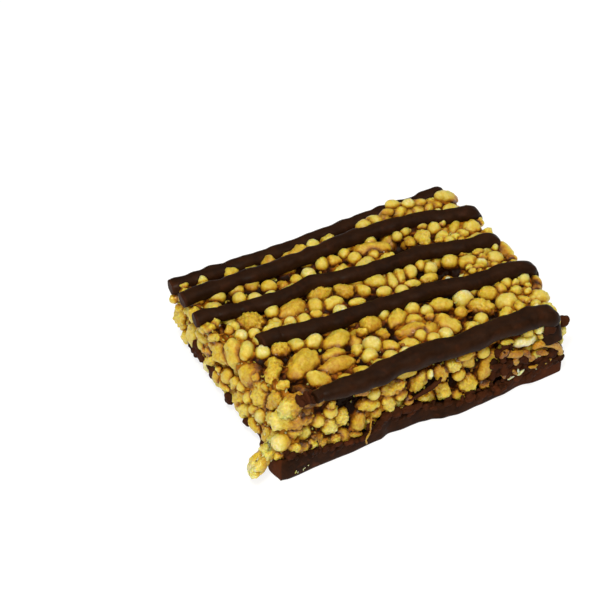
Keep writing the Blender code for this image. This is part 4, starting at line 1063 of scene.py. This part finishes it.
def rubbleRows():
    rng = random.Random(rubble["seed"])
    rows = []
    for _ in range(rubble["count"]):
        x = rng.uniform(*rubble["reach"])
        y = alongPoints(base["frontLine"], x) + rng.uniform(*rubble["depth"])
        above = rng.uniform(*rubble["height"])
        y += max(0.0, above)  # above the rim the side leans in
        z = alongPoints(base["rimLine"], x) + above
        size = rng.uniform(*rubble["size"]), rng.uniform(*rubble["size"])
        rows.append(rubbleChip(rng, x, y, z, size, rubble["flat"] * sum(size) / 2, rubble["tilt"]))
    for _ in range(rubble["patchCount"]):
        x, z = rng.choice(rubble["patch"])
        x, z = rng.gauss(x, rubble["patchSpread"]), rng.gauss(z, rubble["patchSpread"])
        size = rng.uniform(*rubble["patchSize"]), rng.uniform(*rubble["patchSize"])
        y = rng.uniform(*rubble["patchY"])
        rows.append(rubbleChip(rng, x, y, z, size, rubble["patchDepth"], rubble["patchTilt"]))
    return rows


def addBits(name, tree):
    settings = bits[name]
    rng = random.Random(settings["seed"])
    rows = settings["rows"] if "rows" in settings else rubbleRows()
    turns = [(0, -math.radians(climb), math.radians(heading)) for *_, heading, climb in rows]
    shifts = [[rng.uniform(-1, 1) for _ in range(3)] for _ in rows]
    ranges = {key: settings.get(key, (0.0, 0.0)) for key in ("toast", "broken")}
    colours = {key: [rng.uniform(*ends) for _ in rows] for key, ends in ranges.items()}
    obj = addLumps(
        name, tree, settings["shape"], [Vector(row[:3]) * mm for row in rows], turns,
        [Vector(row[3:6]) * mm for row in rows], shifts, [sum(row[3:6]) / 6 for row in rows], **colours)
    print(f"{name}: {len(rows)}, {len(obj.data.polygons)} faces")
    return obj


# The chocolate stripes, piped along the top. Each has its path as (x, y) in mm, its radius, how far its end
# curls down the moulded end, where cracks cross it and how deep they are, and how much higher than usual it
# lies, as (x, height). Its widths are shares of the radius, as (x, share).
stripes = dict(
    step=0.2 * mm,
    sides=40,
    wide=1.08,
    high=0.82,
    rounding=0.76,
    rippleHeight=0.24,
    rippleSize=3.2,
    sink=0.3,
    wave=0.35 * mm,
    waveSize=6 * mm,
    coarseStep=4.2 * mm,
    wobble=0.30 * mm,
    wobbleSize=3.4 * mm,
    swell=0.16,
    swellSize=2.6 * mm,
    crackWidth=0.18 * mm,
    endRoom=2 * mm,
    turn=0.5,  # how far the end stands out before it curls down, in radii
    # the curl's two points: how much farther out, in radii, and how far to the side and down, in curls
    curlPoints=[(0.0, -0.05, -0.4), (0.1, -0.3, -1.0)],
    blunt=2.4,  # how blunt its end is
    cut=0.4,  # how pale its broken start is
    cutReach=0.25 * mm,
    # rings that close the start, from its tip: how many steps out, and how wide
    tip=[(3, 0.06), (2, 0.45), (1, 0.8), (0, 0.94)],
    tipStep=0.02,
    rows=[
        dict(
            path=[(-31.0, 21.0), (-12.0, 20.8), (12.0, 22.2), (17.1, 22.4), (20.8, 21.6), (27.2, 21.2)],
            radius=1.45, curl=2.0, cracks=[],
            lift=[(-31.0, -0.4), (12.0, -1.0), (17.0, -0.5), (23.0, -0.3), (27.2, 0.2)],
        ),
        dict(
            path=[(-31.4, 15.0), (-8.0, 15.2), (8.0, 16.4), (14.8, 16.0), (20.1, 15.4), (25.8, 13.6),
                  (30.1, 12.9)],
            radius=1.5, curl=2.8, cracks=[], lift=[(-31.4, 0.0)],
        ),
        dict(
            path=[(-31.9, 8.4), (-29.0, 8.2), (-25.3, 7.4), (-19.3, 7.0), (-15.3, 6.5), (-10.8, 7.0),
                  (-6.2, 8.1), (-2.3, 6.9), (1.6, 6.2), (8.0, 5.9), (10.5, 6.4), (16.7, 5.9), (24.6, 4.2),
                  (29.4, 4.2)],
            radius=1.45, curl=2.6, cracks=[(-27.5, 0.09), (-23.4, 0.07)], lift=[(-31.9, 0.0)],
        ),
        dict(
            path=[(-24.3, -3.0), (-20.2, -2.9), (-14.4, -3.7), (-8.3, -4.0), (-1.9, -3.9), (4.5, -3.9),
                  (12.9, -4.3), (17.0, -5.4), (25.4, -5.6), (31.0, -5.8)],
            radius=1.6, curl=3.2, cracks=[(-20.4, 0.08)], lift=[(-24.3, 0.0)],
        ),
        dict(
            path=[(-22.4, -20.9), (-17.4, -20.5), (-9.2, -20.4), (-4.6, -19.8), (4.0, -19.4), (8.0, -20.0),
                  (14.6, -19.6), (21.0, -19.5), (26.8, -19.6)],
            radius=2.1, curl=5.6, cracks=[(-21.3, 0.10)],
            lift=[(-22.4, 0.4), (4.0, 0.8), (20.0, 1.0), (26.8, 0.7)],
            widths=[(-22.4, 0.50), (-19.8, 0.66), (-16.0, 0.86), (-8.0, 0.92), (6.0, 0.93), (16.0, 1.0)],
            cut=0.0, blunt=9.0, turn=0.22,
        ),
    ],
)


# the middle line as the part has it, eased between its points
def stripeLine(row, number):
    radius, curl = row["radius"] * mm, row["curl"] * mm
    start, end = row["path"][0][0], row["path"][-1][0]
    count = max(2, round((end - start) * mm / stripes["coarseStep"]))
    points = []
    for step in range(count + 1):
        along = mix(start, end, step / count)
        x, y = along * mm, alongPoints(row["path"], along) * mm
        wave = stripes["wave"] * noise.noise(Vector((x / stripes["waveSize"], 3.7 * number, 5.0)))
        top = topHeight(min(x, block["mouldedX"] - stripes["endRoom"]), y)
        top += alongPoints(row["lift"], along) * mm
        points.append(Vector((x, y, top - stripes["sink"] * radius + wave)))
    over, turn = points[-1], row.get("turn", stripes["turn"])
    for out, across, down in stripes["curlPoints"]:
        points.append(over + Vector(((turn + out) * radius, across * curl, down * curl)))
    return points


# evenly spaced points on a smooth curve through the given ones
def evened(points, step):
    fine = []
    padded = [2 * points[0] - points[1]] + points + [2 * points[-1] - points[-2]]
    for a, b, c, d in zip(padded, padded[1:], padded[2:], padded[3:]):
        for n in range(40):
            t = n / 40
            fine.append(0.5 * (2 * b + (c - a) * t + (2 * a - 5 * b + 4 * c - d) * t * t
                               + (3 * b - a - 3 * c + d) * t ** 3))
    fine.append(points[-1])
    lengths = np.concatenate([[0], np.cumsum([(q - p).length for p, q in zip(fine, fine[1:])])])
    count = round(lengths[-1] / step)
    places = np.array([tuple(p) for p in fine])
    wanted = np.linspace(0, lengths[-1], count + 1)
    return np.stack([np.interp(wanted, lengths, places[:, axis]) for axis in range(3)], axis=1), wanted


# a rope with a rounded square section along a line, as thick as the line's ropeRadius says
def stripeTree(material):
    tree, source, result = newTree("stripeTree", dict(
        sides="Int", rippleHeight="Float", rippleSize="Float", wide="Float", high="Float", rounding="Float"))
    line = addNode(tree, "GeometryNodeMeshToCurve", {"Mesh": source.outputs["Geometry"]})
    wide = named(tree, "ropeRadius")
    sized = addNode(tree, "GeometryNodeSetCurveRadius", {"Curve": line.outputs[0], "Radius": wide})
    upright = addNode(tree, "GeometryNodeSetCurveNormal", {"Curve": sized.outputs[0]}, mode="Z_UP")
    ring = addNode(tree, "GeometryNodeCurvePrimitiveQuadrilateral", {
        "Width": sumNode(tree, "MULTIPLY", source.outputs["wide"], 2.0),
        "Height": sumNode(tree, "MULTIPLY", source.outputs["high"], 2.0)})
    rounded = addNode(tree, "GeometryNodeFilletCurve", {
        "Curve": ring.outputs[0], "Radius": source.outputs["rounding"], "Count": 8}, mode="POLY")
    section = addNode(tree, "GeometryNodeResampleCurve", {
        "Curve": rounded.outputs[0], "Count": source.outputs["sides"]})
    inputs = {"Curve": upright.outputs[0], "Profile Curve": section.outputs[0], "Fill Caps": True}
    tube = addNode(tree, "GeometryNodeCurveToMesh", inputs)
    if "Scale" in tube.inputs:
        tree.links.new(wide, tube.inputs["Scale"])
    scale = sumNode(tree, "DIVIDE", 1 / mm, source.outputs["rippleSize"])
    rise = wavesNode(tree, scale, 1.0, source.outputs["rippleHeight"])
    return endTree(tree, result, tube.outputs[0], sumNode(tree, "MULTIPLY", rise, mm), material)


def addStripes(material):
    places, edges, radii, cuts = [], [], [], []
    for number, row in enumerate(stripes["rows"]):
        line, lengths = evened(stripeLine(row, number), stripes["step"])
        radius, whole = row["radius"] * mm, lengths[-1]
        power = row.get("blunt", stripes["blunt"])
        rings = []
        for place, length in zip(line, lengths):
            bulge = noise.noise(Vector((length / stripes["swellSize"], 9.1 * number, 0.0)))
            wave = noise.noise(Vector((length / stripes["wobbleSize"], 4.3 * number, 7.0)))
            swell = 1 + stripes["swell"] * bulge
            if "widths" in row:
                swell *= alongPoints(row["widths"], place[0] / mm)
            for crack, depth in row["cracks"]:
                swell -= depth * math.exp(-(((place[0] - crack * mm) / stripes["crackWidth"]) ** 2))
            left = (whole - length) / radius
            if left < 1:
                swell *= max(1 - (1 - left) ** power, 0.0001) ** (1 / power)
            rings.append((Vector(place) + Vector((0, stripes["wobble"] * wave, 0)), radius * swell, length))
        step = rings[1][0] - rings[0][0]
        first = rings[0][0] - step
        rings[:0] = [(first - step * stripes["tipStep"] * n, rings[0][1] * share, 0.0)
                     for n, share in stripes["tip"]]
        edges += [(len(places) + n, len(places) + n + 1) for n in range(len(rings) - 1)]
        for place, wide, length in rings:
            places.append(place)
            radii.append(wide)
            cuts.append(row.get("cut", stripes["cut"]) * math.exp(-((length / stripes["cutReach"]) ** 2)))
    obj = meshObject("chocolateStripes", places, edges)
    storeValues(obj.data, "ropeRadius", radii)
    storeValues(obj.data, "broken", cuts)
    applyTree(obj, stripeTree(material), stripes)
    print("stripes:", len(obj.data.polygons), "faces")
    return obj


# Thin pieces that follow a line on the front side, as (x, y, z, radius) in mm along each one
threads = dict(
    step=0.12 * mm,
    toast=dict(syrupThread=0.72, curledGrain=0.60),
    shape=dict(sides=16, wide=1.0, high=1.0, rounding=0.9, rippleHeight=0.14, rippleSize=0.6),
    broken=0.5,
    taper=0.5,  # how long their ends taper, in radii
    thinnest=0.05,
    chocolateShard=[(-3.6, -21.5, 7.7, 0.16), (-1.4, -21.9, 8.6, 0.30), (1.1, -22.1, 9.7, 0.42),
                    (2.6, -21.9, 10.3, 0.46), (3.3, -21.5, 10.7, 0.2)],
    syrupThread=[(-11.0, -21.2, 7.6, 0.14), (-11.5, -21.7, 6.0, 0.17), (-11.8, -22.1, 4.4, 0.15),
                 (-12.8, -22.35, 2.8, 0.17), (-12.6, -22.4, 1.6, 0.14)],
    curledGrain=[(23.6, -20.7, 8.4, 0.5), (24.6, -21.1, 9.3, 0.7), (26.4, -21.4, 9.2, 0.8),
                 (28.0, -21.5, 8.1, 0.7), (29.2, -21.3, 6.4, 0.7), (29.8, -21.1, 4.5, 0.6),
                 (29.3, -21.1, 3.0, 0.35)],
)


def addThread(name, material):
    rows = threads[name]
    line, lengths = evened([Vector(row[:3]) * mm for row in rows], threads["step"])
    known = np.linspace(0, lengths[-1], len(rows))
    radii = np.interp(lengths, known, [row[3] * mm for row in rows])
    toEnd = np.minimum(lengths, lengths[-1] - lengths) / (threads["taper"] * radii)
    radii *= np.clip(toEnd, threads["thinnest"], 1) ** 0.5
    obj = meshObject(name, line, [(n, n + 1) for n in range(len(line) - 1)])
    storeValues(obj.data, "ropeRadius", radii)
    storeValues(obj.data, "broken", np.full(len(line), threads["broken"]))
    storeValues(obj.data, "toast", np.full(len(line), threads["toast"].get(name, 0.0)))
    applyTree(obj, stripeTree(material), threads["shape"])
    print(f"{name}: {len(obj.data.polygons)} faces")
    return obj


# The chocolate base, as rings from the middle of its underside, up its side, over its rim and in to its floor
base = dict(
    frontY=-21.6 * mm,
    backY=21.4 * mm,
    mouldedX=31.0 * mm,
    cornerRound=2.0 * mm,
    # points in mm: y along x at the front, height along x at the rim, and x along y at the break
    frontLine=[(-30.2, -22.2), (-28.5, -22.5), (-22.2, -22.1), (-15.9, -22.0), (-9.3, -21.4), (-7.0, -20.7),
               (-4.4, -21.0), (-0.8, -20.8), (1.5, -21.1), (4.3, -22.0), (7.3, -22.4), (11.8, -22.1),
               (16.4, -21.8), (21.3, -21.1), (24.0, -21.6), (31.0, -21.3)],
    rimLine=[(-30.5, 4.9), (-28.2, 5.4), (-24.0, 4.9), (-19.0, 4.0), (-16.0, 3.3), (-12.8, 2.9), (-9.5, 4.6),
             (-5.5, 4.3), (0.9, 4.2), (5.2, 3.5), (11.8, 2.7), (16.1, 3.0), (20.4, 4.3), (24.8, 4.6),
             (29.0, 5.4)],
    rimReach=7.0 * mm,
    breakLine=[(-22.2, -30.2), (-18.4, -30.9), (-14.0, -29.8), (-9.0, -28.6), (0.0, -28.8), (9.0, -29.1),
               (15.0, -28.6), (21.4, -28.0)],
    # how far each unevenness stands out, and how long its waves are
    ripple=(0.45 * mm, 5 * mm),
    fineRipple=(0.10 * mm, 1.6 * mm),
    frontShare=0.3,
    scallop=(0.35 * mm, 1.3 * mm),
    breakGrit=(0.12 * mm, 0.8 * mm),
    rimWave=0.9 * mm,
    rimWaveSizes=(7 * mm, 3.2 * mm),
    lowest=-0.4,  # how far the rim may sink, in floor heights
    # where the rim climbs the side: x, y, how high and how far around, in mm
    climbs=[(31.0, -18.0, 3.0, 8.0), (-29.0, 14.0, 2.2, 6.0), (12.0, 21.4, 1.6, 14.0),
            (31.0, 8.0, 1.4, 10.0)],
    brokenFrom=(14, 14),  # along the front, where its side turns crumbly and over how many mm
    step=0.22 * mm,
    # how far in, in mm, and how high: 0 is the table, 1 the rim, and a third number lifts by so many mm
    profile=[(20.0, 0, 0.0), (0.9, 0, 0.0), (0.35, 0, 0.06), (0.08, 0, 0.30), (0.0, 0.16, 0.1),
             (-0.05, 0.35, 0.0), (-0.06, 0.55, 0.0), (-0.03, 0.72, 0.0), (0.03, 0.86, 0.0),
             (0.16, 1.0, -0.22), (0.36, 1.0, -0.06), (0.62, 1.0, 0.0), (0.95, 1.0, -0.12),
             (1.3, 0.9, -0.2), (1.9, 0.6, 0.0)],
    undersideInset=15,  # rings farther in than this have no ripples
)


def rimRise(x, y):
    broad, narrow = base["rimWaveSizes"]
    rise = base["rimWave"] * (noiseAt(x, y, 0, broad) + 0.5 * noiseAt(x, y, 9 * mm, narrow))
    for centreX, centreY, height, reach in base["climbs"]:
        away = math.hypot(x / mm - centreX, y / mm - centreY) / reach
        rise += height * mm * (1 - smooth(away))
    front = 1 - smooth((y - base["frontY"]) / base["rimReach"])
    rise = mix(rise, alongPoints(base["rimLine"], x / mm) * mm - block["floor"], front)
    return max(rise, base["lowest"] * block["floor"])


def basePlace(u, v):
    y = mix(base["frontY"], base["backY"], v)
    x = mix(alongPoints(base["breakLine"], y / mm) * mm, base["mouldedX"], u)
    y = mix(alongPoints(base["frontLine"], x / mm) * mm, base["backY"], v)
    return insideCorners(x, y, 0.0, base["mouldedX"], base["backY"], base["cornerRound"])


# how far one of the base's waves stands out at a place
def uneven(name, x, y, z):
    height, size = base[name]
    return height * noiseAt(x, y, z, size)


# one point of a ring, at u along and v across, and how broken it is
def basePoint(u, v, inset, share, lift, length, width):
    onBreak, onEnd, onFront, onBack = u < 0.001, u > 0.999, v < 0.001, v > 0.999
    du, dv = inset * mm / length, inset * mm / width
    x, y = basePlace(mix(du, 1 - du, u), mix(dv, 1 - dv, v))
    outX, outY = basePlace(u, v)
    if inset < base["undersideInset"]:
        ripple = uneven("ripple", outX, outY, 4 * mm) + uneven("fineRipple", outX, outY, 3 * mm * share)
        x += ripple * (onEnd - onBreak)
        y += ripple * (onBack - base["frontShare"] * onFront)
    rim = block["floor"] + rimRise(outX, outY) + uneven("scallop", outX, outY, 2 * mm)
    z = share * rim + lift * mm
    if onBreak and share > 0.1:
        x += uneven("breakGrit", outX, outY, z)
    start, run = base["brokenFrom"]
    return (x, y, z), max(float(onBreak), smooth((outX / mm - start) / run) * onFront)


def addBase(material):
    length, width = base["mouldedX"] - base["breakLine"][0][1] * mm, base["backY"] - base["frontY"]
    countU, countV = round(length / base["step"]), round(width / base["step"])
    walk = [(n / countU, 0.0) for n in range(countU)] + [(1.0, n / countV) for n in range(countV)]
    walk += [(1 - n / countU, 1.0) for n in range(countU)] + [(0.0, 1 - n / countV) for n in range(countV)]
    around, last = len(walk), (len(base["profile"]) - 1) * len(walk)
    points = [basePoint(u, v, *row, length, width) for row in base["profile"] for u, v in walk]
    faces = []
    for ring in range(0, last, around):
        for n in range(around):
            a, b = ring + n, ring + (n + 1) % around
            faces.append((a, b, b + around, a + around))
    faces.append(tuple(reversed(range(around))))
    faces.append(tuple(range(last, last + around)))
    obj = meshObject("chocolateBase", [place for place, _ in points], (), faces)
    storeValues(obj.data, "broken", [broken for _, broken in points])
    bm = bmesh.new()
    bm.from_mesh(obj.data)
    bmesh.ops.triangulate(bm, faces=[face for face in bm.faces if len(face.verts) > 4])
    bmesh.ops.recalc_face_normals(bm, faces=bm.faces)
    bm.to_mesh(obj.data)
    bm.free()
    for face in obj.data.polygons:
        face.use_smooth = True
    obj.data.materials.append(material)
    print("base:", len(obj.data.polygons), "faces")
    return obj


def newMaterial(name):
    material = bpy.data.materials.new(name)
    material.use_nodes = True
    tree = material.node_tree
    shader = tree.nodes["Principled BSDF"]
    place = addNode(tree, "ShaderNodeTexCoord").outputs["Object"]
    return material, tree, shader, place


def attributeNode(tree, name):
    return addNode(tree, "ShaderNodeAttribute", attribute_name=name).outputs["Fac"]


def colourMix(tree, share, a, b):
    return addNode(tree, "ShaderNodeMix", {0: share, 6: a, 7: b}, data_type="RGBA").outputs[2]


def rampNode(tree, value, stops):
    ramp = addNode(tree, "ShaderNodeValToRGB", {"Fac": value})
    elements = ramp.color_ramp.elements
    while len(elements) < len(stops):
        elements.new(0.5)
    for element, (place, colour) in zip(elements, stops):
        element.position = place
        element.color = colour
    return ramp.outputs["Color"]


def setInputs(node, values):
    for name, value in values.items():
        node.inputs[name].default_value = value


# a bump from a height, with a strength and a distance as its settings
def addBump(tree, shader, height, settings, sockets=("Normal",)):
    strength, distance = settings
    bump = addNode(tree, "ShaderNodeBump", {"Strength": strength, "Distance": distance, "Height": height})
    for socket in sockets:
        tree.links.new(bump.outputs[0], shader.inputs[socket])


# Toasted grains under a thin coat of syrup. Each darkening goes from a low to a high value of its attribute:
# where grains meet, deep under the outer faces and down each grain's side, as syrup stain and painted shade.
toasted = dict(
    stops=[(0.0, sRgb(236, 229, 192)), (0.2, sRgb(215, 201, 108)), (0.42, sRgb(204, 176, 57)),
           (0.62, sRgb(182, 132, 31)), (0.82, sRgb(130, 79, 12)), (1.0, sRgb(68, 34, 4))],
    mottle=0.16,
    mottleSize=1.6 * mm,
    # fine specks of lighter and darker toast; the lighter ones are painted sparkle highlights
    speckleAndSparkle=0.16,
    speckleAndSparkleSize=0.55 * mm,
    syrupStainAndShade=[("crevice", 0.1, 1.05, 0.36), ("sunk", 0.8, 4.0, 0.36), ("side", 0.30, 1.5, 0.42)],
    roughness=(0.34, 0.62),
    roughSize=0.9 * mm,
    crustSize=0.38 * mm,
    pitSize=0.5 * mm,
    pitShare=0.5,
    bump=(0.9, 0.13 * mm),
    shader={"Specular IOR Level": 0.20, "Subsurface Weight": 0.85, "Subsurface Radius": (1.0, 0.72, 0.2),
            "Subsurface Scale": 2.2 * mm, "Coat Weight": 0.32, "Coat Roughness": 0.10},
)


def grainMaterial():
    material, tree, shader, place = newMaterial("toastedGrain")
    mottle = noiseNode(tree, toasted["mottleSize"], 3.0, place)
    toast = sumNode(tree, "MULTIPLY_ADD", mottle, 2 * toasted["mottle"], -toasted["mottle"])
    toast = sumNode(tree, "ADD", toast, attributeNode(tree, "toast"))
    # painted sparkle highlights mixed with fine specks of tone
    speckleAndSparkle = noiseNode(tree, toasted["speckleAndSparkleSize"], 3.0, place, 0.65)
    speckleAndSparkle = rangeNode(tree, speckleAndSparkle, 0.25, 0.75, -0.5, 0.5)
    toast = sumNode(tree, "MULTIPLY_ADD", speckleAndSparkle, toasted["speckleAndSparkle"], toast)
    # syrup stain and painted shade: darker where grains meet, deep in the block and low on each grain
    for name, low, high, amount in toasted["syrupStainAndShade"]:
        dark = rangeNode(tree, attributeNode(tree, name), low, high)
        toast = sumNode(tree, "MULTIPLY_ADD", dark, amount, toast)
    tree.links.new(rampNode(tree, toast, toasted["stops"]), shader.inputs["Base Color"])
    rough = noiseNode(tree, toasted["roughSize"], 2.0, place)
    tree.links.new(rangeNode(tree, rough, 0.3, 0.7, *toasted["roughness"]), shader.inputs["Roughness"])
    setInputs(shader, toasted["shader"])
    fine = noiseNode(tree, toasted["crustSize"], 4.0, place, 0.6)
    inputs = {"Vector": place, "Scale": 1 / toasted["pitSize"]}
    pits = addNode(tree, "ShaderNodeTexVoronoi", inputs).outputs[0]
    crust = sumNode(tree, "MULTIPLY_ADD", pits, toasted["pitShare"], fine)
    addBump(tree, shader, crust, toasted["bump"], ("Normal", "Coat Normal"))
    return material


# Syrup, amber where it is thin and darker where it is thick, with painted shade that takes it to nearly black
# where it lies deep between grains
amber = dict(
    stops=[(0.0, sRgb(172, 114, 28)), (0.25, sRgb(138, 80, 14)), (0.5, sRgb(92, 44, 6)),
           (0.75, sRgb(46, 19, 2)), (1.0, sRgb(28, 11, 2))],
    thickness=(-0.50, 0.25, 0.0, 0.75),
    sunk=(0.9, 3.2, 0.0, 0.60),
    patch=(0.3, 0.7, -0.14, 0.14),
    patchSize=1.6 * mm,
    rippleSize=0.5 * mm,
    bump=(0.7, 0.15 * mm),
    shader={"Roughness": 0.45, "Specular IOR Level": 0.06, "Subsurface Weight": 0.3,
            "Subsurface Radius": (1.0, 0.5, 0.15), "Subsurface Scale": 1.0 * mm},
)


def syrupMaterial():
    material, tree, shader, place = newMaterial("grainSyrup")
    patch = rangeNode(tree, noiseNode(tree, amber["patchSize"], 2.0, place), *amber["patch"])
    thickness = rangeNode(tree, attributeNode(tree, "thickness"), *amber["thickness"])
    # painted shade: the syrup darkens with its depth under the outer faces
    sunk = rangeNode(tree, attributeNode(tree, "sunk"), *amber["sunk"])
    depth = sumNode(tree, "ADD", sumNode(tree, "ADD", thickness, sunk), patch, clamp=True)
    tree.links.new(rampNode(tree, depth, amber["stops"]), shader.inputs["Base Color"])
    setInputs(shader, amber["shader"])
    addBump(tree, shader, noiseNode(tree, amber["rippleSize"], 4.0, place), amber["bump"])
    return material


# Dark chocolate: satin where it set against air, paler and dull where it broke
chocolates = dict(
    base=dict(name="baseChocolate", dark=sRgb(31, 15, 5), light=sRgb(54, 29, 14), roughness=0.48, reddish=0.5,
              gloss=0.03),
    stripes=dict(name="stripeChocolate", dark=sRgb(30, 15, 6), light=sRgb(46, 25, 11), roughness=0.46,
                 reddish=0.12, gloss=0.07),
    warm=sRgb(92, 46, 24),
    warmSize=2.2 * mm,
    warmFrom=(0.55, 0.75),
    broken=sRgb(92, 48, 28),
    brokenShare=0.5,
    brokenRough=0.3,
    patchSize=3.5 * mm,
    fineSize=0.7 * mm,
    fineShare=0.35,
    smoother=0.08,
    rougher=0.1,
    gritSize=0.35 * mm,
    gritShare=0.25,
    softSize=1.8 * mm,
    bump=(0.6, 0.12 * mm),
)


def chocolateMaterial(name, dark, light, roughness, reddish, gloss):
    material, tree, shader, place = newMaterial(name)
    patch = noiseNode(tree, chocolates["patchSize"], 3.0, place)
    fine = noiseNode(tree, chocolates["fineSize"], 4.0, place)
    rest = sumNode(tree, "MULTIPLY", patch, 1 - chocolates["fineShare"])
    share = sumNode(tree, "MULTIPLY_ADD", fine, chocolates["fineShare"], rest)
    colour = colourMix(tree, rangeNode(tree, share, 0.3, 0.7), dark, light)
    warm = noiseNode(tree, chocolates["warmSize"], 2.0, place)
    warm = rangeNode(tree, warm, *chocolates["warmFrom"], 0.0, reddish)
    colour = colourMix(tree, warm, colour, chocolates["warm"])
    broken = attributeNode(tree, "broken")
    pale = sumNode(tree, "MULTIPLY", broken, chocolates["brokenShare"])
    colour = colourMix(tree, pale, colour, chocolates["broken"])
    tree.links.new(colour, shader.inputs["Base Color"])
    smoothest, roughest = roughness - chocolates["smoother"], roughness + chocolates["rougher"]
    rough = rangeNode(tree, fine, 0.3, 0.7, smoothest, roughest)
    rough = sumNode(tree, "MULTIPLY_ADD", broken, chocolates["brokenRough"], rough)
    tree.links.new(rough, shader.inputs["Roughness"])
    setInputs(shader, {"Specular IOR Level": gloss})
    grit = noiseNode(tree, chocolates["gritSize"], 3.0, place)
    soft = noiseNode(tree, chocolates["softSize"], 2.0, place)
    height = sumNode(tree, "MULTIPLY_ADD", grit, chocolates["gritShare"], soft)
    addBump(tree, shader, height, chocolates["bump"])
    return material


# Camera, lights and floor. The lamps are discs that stand around the bar and look at it.
studio = dict(
    target=(-2.9 * mm, 20.3 * mm, 0.0),
    azimuth=-28.0,
    elevation=41.0,
    distance=452.7 * mm,
    lens=138.0,
    sensor=36.0,
    nearest=0.01,
    farthest=20.0,
    world=0.18,
    warmth=(1.0, 0.945, 0.84),
    lampDistance=0.6,
    lampTarget=(0, 0, 8 * mm),
    floorHalf=2,
    floorDark=(0.24, 0.24, 0.24, 1),
    floorLight=(0.27, 0.27, 0.27, 1),
    floorMottle=0.05,
    floorGlow=0.82,
    lights=[
        dict(name="keyLight", azimuth=-41, elevation=55, power=1.75, size=0.32),
        dict(name="glintLight", azimuth=-40, elevation=60, power=1.3, size=0.04),
        dict(name="frontLight", azimuth=-10, elevation=50, power=0.45, size=0.6),
        dict(name="topLight", azimuth=120, elevation=70, power=0.8, size=0.5),
    ],
)


def direction(azimuth, elevation):
    turn, rise = math.radians(azimuth), math.radians(elevation)
    return Vector((math.sin(turn) * math.cos(rise), -math.cos(turn) * math.cos(rise), math.sin(rise)))


def aimed(name, data, place, target):
    obj = bpy.data.objects.new(name, data)
    bpy.context.scene.collection.objects.link(obj)
    obj.location = place
    obj.rotation_euler = (Vector(target) - place).to_track_quat("-Z", "Y").to_euler()
    return obj


def addStudio():
    scene = bpy.context.scene
    scene.view_settings.view_transform = "Standard"
    scene.view_settings.look = "None"
    camera = bpy.data.cameras.new("photoCamera")
    camera.lens = studio["lens"]
    camera.sensor_width = studio["sensor"]
    camera.clip_start, camera.clip_end = studio["nearest"], studio["farthest"]
    target = Vector(studio["target"])
    place = target + direction(studio["azimuth"], studio["elevation"]) * studio["distance"]
    scene.camera = aimed("photoCamera", camera, place, target)
    for settings in studio["lights"]:
        lamp = bpy.data.lights.new(settings["name"], "AREA")
        lamp.shape = "DISK"
        lamp.size = settings["size"]
        lamp.energy = settings["power"]
        lamp.color = studio["warmth"]
        place = direction(settings["azimuth"], settings["elevation"]) * studio["lampDistance"]
        aimed(settings["name"], lamp, place, studio["lampTarget"])
    world = bpy.data.worlds.new("studioWorld")
    world.use_nodes = True
    sky = {"Color": (*studio["warmth"], 1), "Strength": studio["world"]}
    setInputs(world.node_tree.nodes["Background"], sky)
    scene.world = world
    half = studio["floorHalf"]
    corners = [(-half, -half, 0), (half, -half, 0), (half, half, 0), (-half, half, 0)]
    floor = meshObject("studioFloor", corners, (), [(0, 1, 2, 3)])
    material, tree, shader, place = newMaterial("paleFloor")
    mottle = noiseNode(tree, studio["floorMottle"], 2.0, place)
    colour = colourMix(tree, mottle, studio["floorDark"], studio["floorLight"])
    tree.links.new(colour, shader.inputs["Base Color"])
    setInputs(shader, {"Roughness": 0.6, "Specular IOR Level": 0.1, "Emission Color": (1, 1, 1, 1),
                       "Emission Strength": studio["floorGlow"]})
    floor.data.materials.append(material)


grains = [grain for grain in packedGrains() if not inHollow(grain)]
grains += gapGrains(grains)
grains += extraGrains("fillers")
print("grains packed:", len(grains))
grainFinish = grainMaterial()
grainPieces = addGrains(grains, lumpTree(grainFinish))
binder = addSyrup(grains, syrupMaterial())
grainPieces.append(addCrumbs(binder, grainFinish))
grainPieces += [addBits(name, lumpTree(grainFinish)) for name in ("starchBits", "amberBits")]
baseFinish = chocolateMaterial(**chocolates["base"])
stripePiece = addStripes(chocolateMaterial(**chocolates["stripes"]))
grainPieces += [addThread(name, grainFinish) for name in ("syrupThread", "curledGrain")]
lumps = [addBits(name, lumpTree(baseFinish)) for name in ("chocolateLumps", "rimRubble")]
lumps.append(addThread("chocolateShard", baseFinish))
basePiece = addBase(baseFinish)

for piece in [*grainPieces, binder, stripePiece, *lumps, basePiece]:
    piece.data.transform(Matrix.Translation(-block["middle"]))
    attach(piece, "root")
for piece in [*grainPieces, binder]:
    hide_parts("cereal_slab")
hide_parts("cereal_slab")
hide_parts("chocolate_base")
addStudio()
print("pieces dressed")
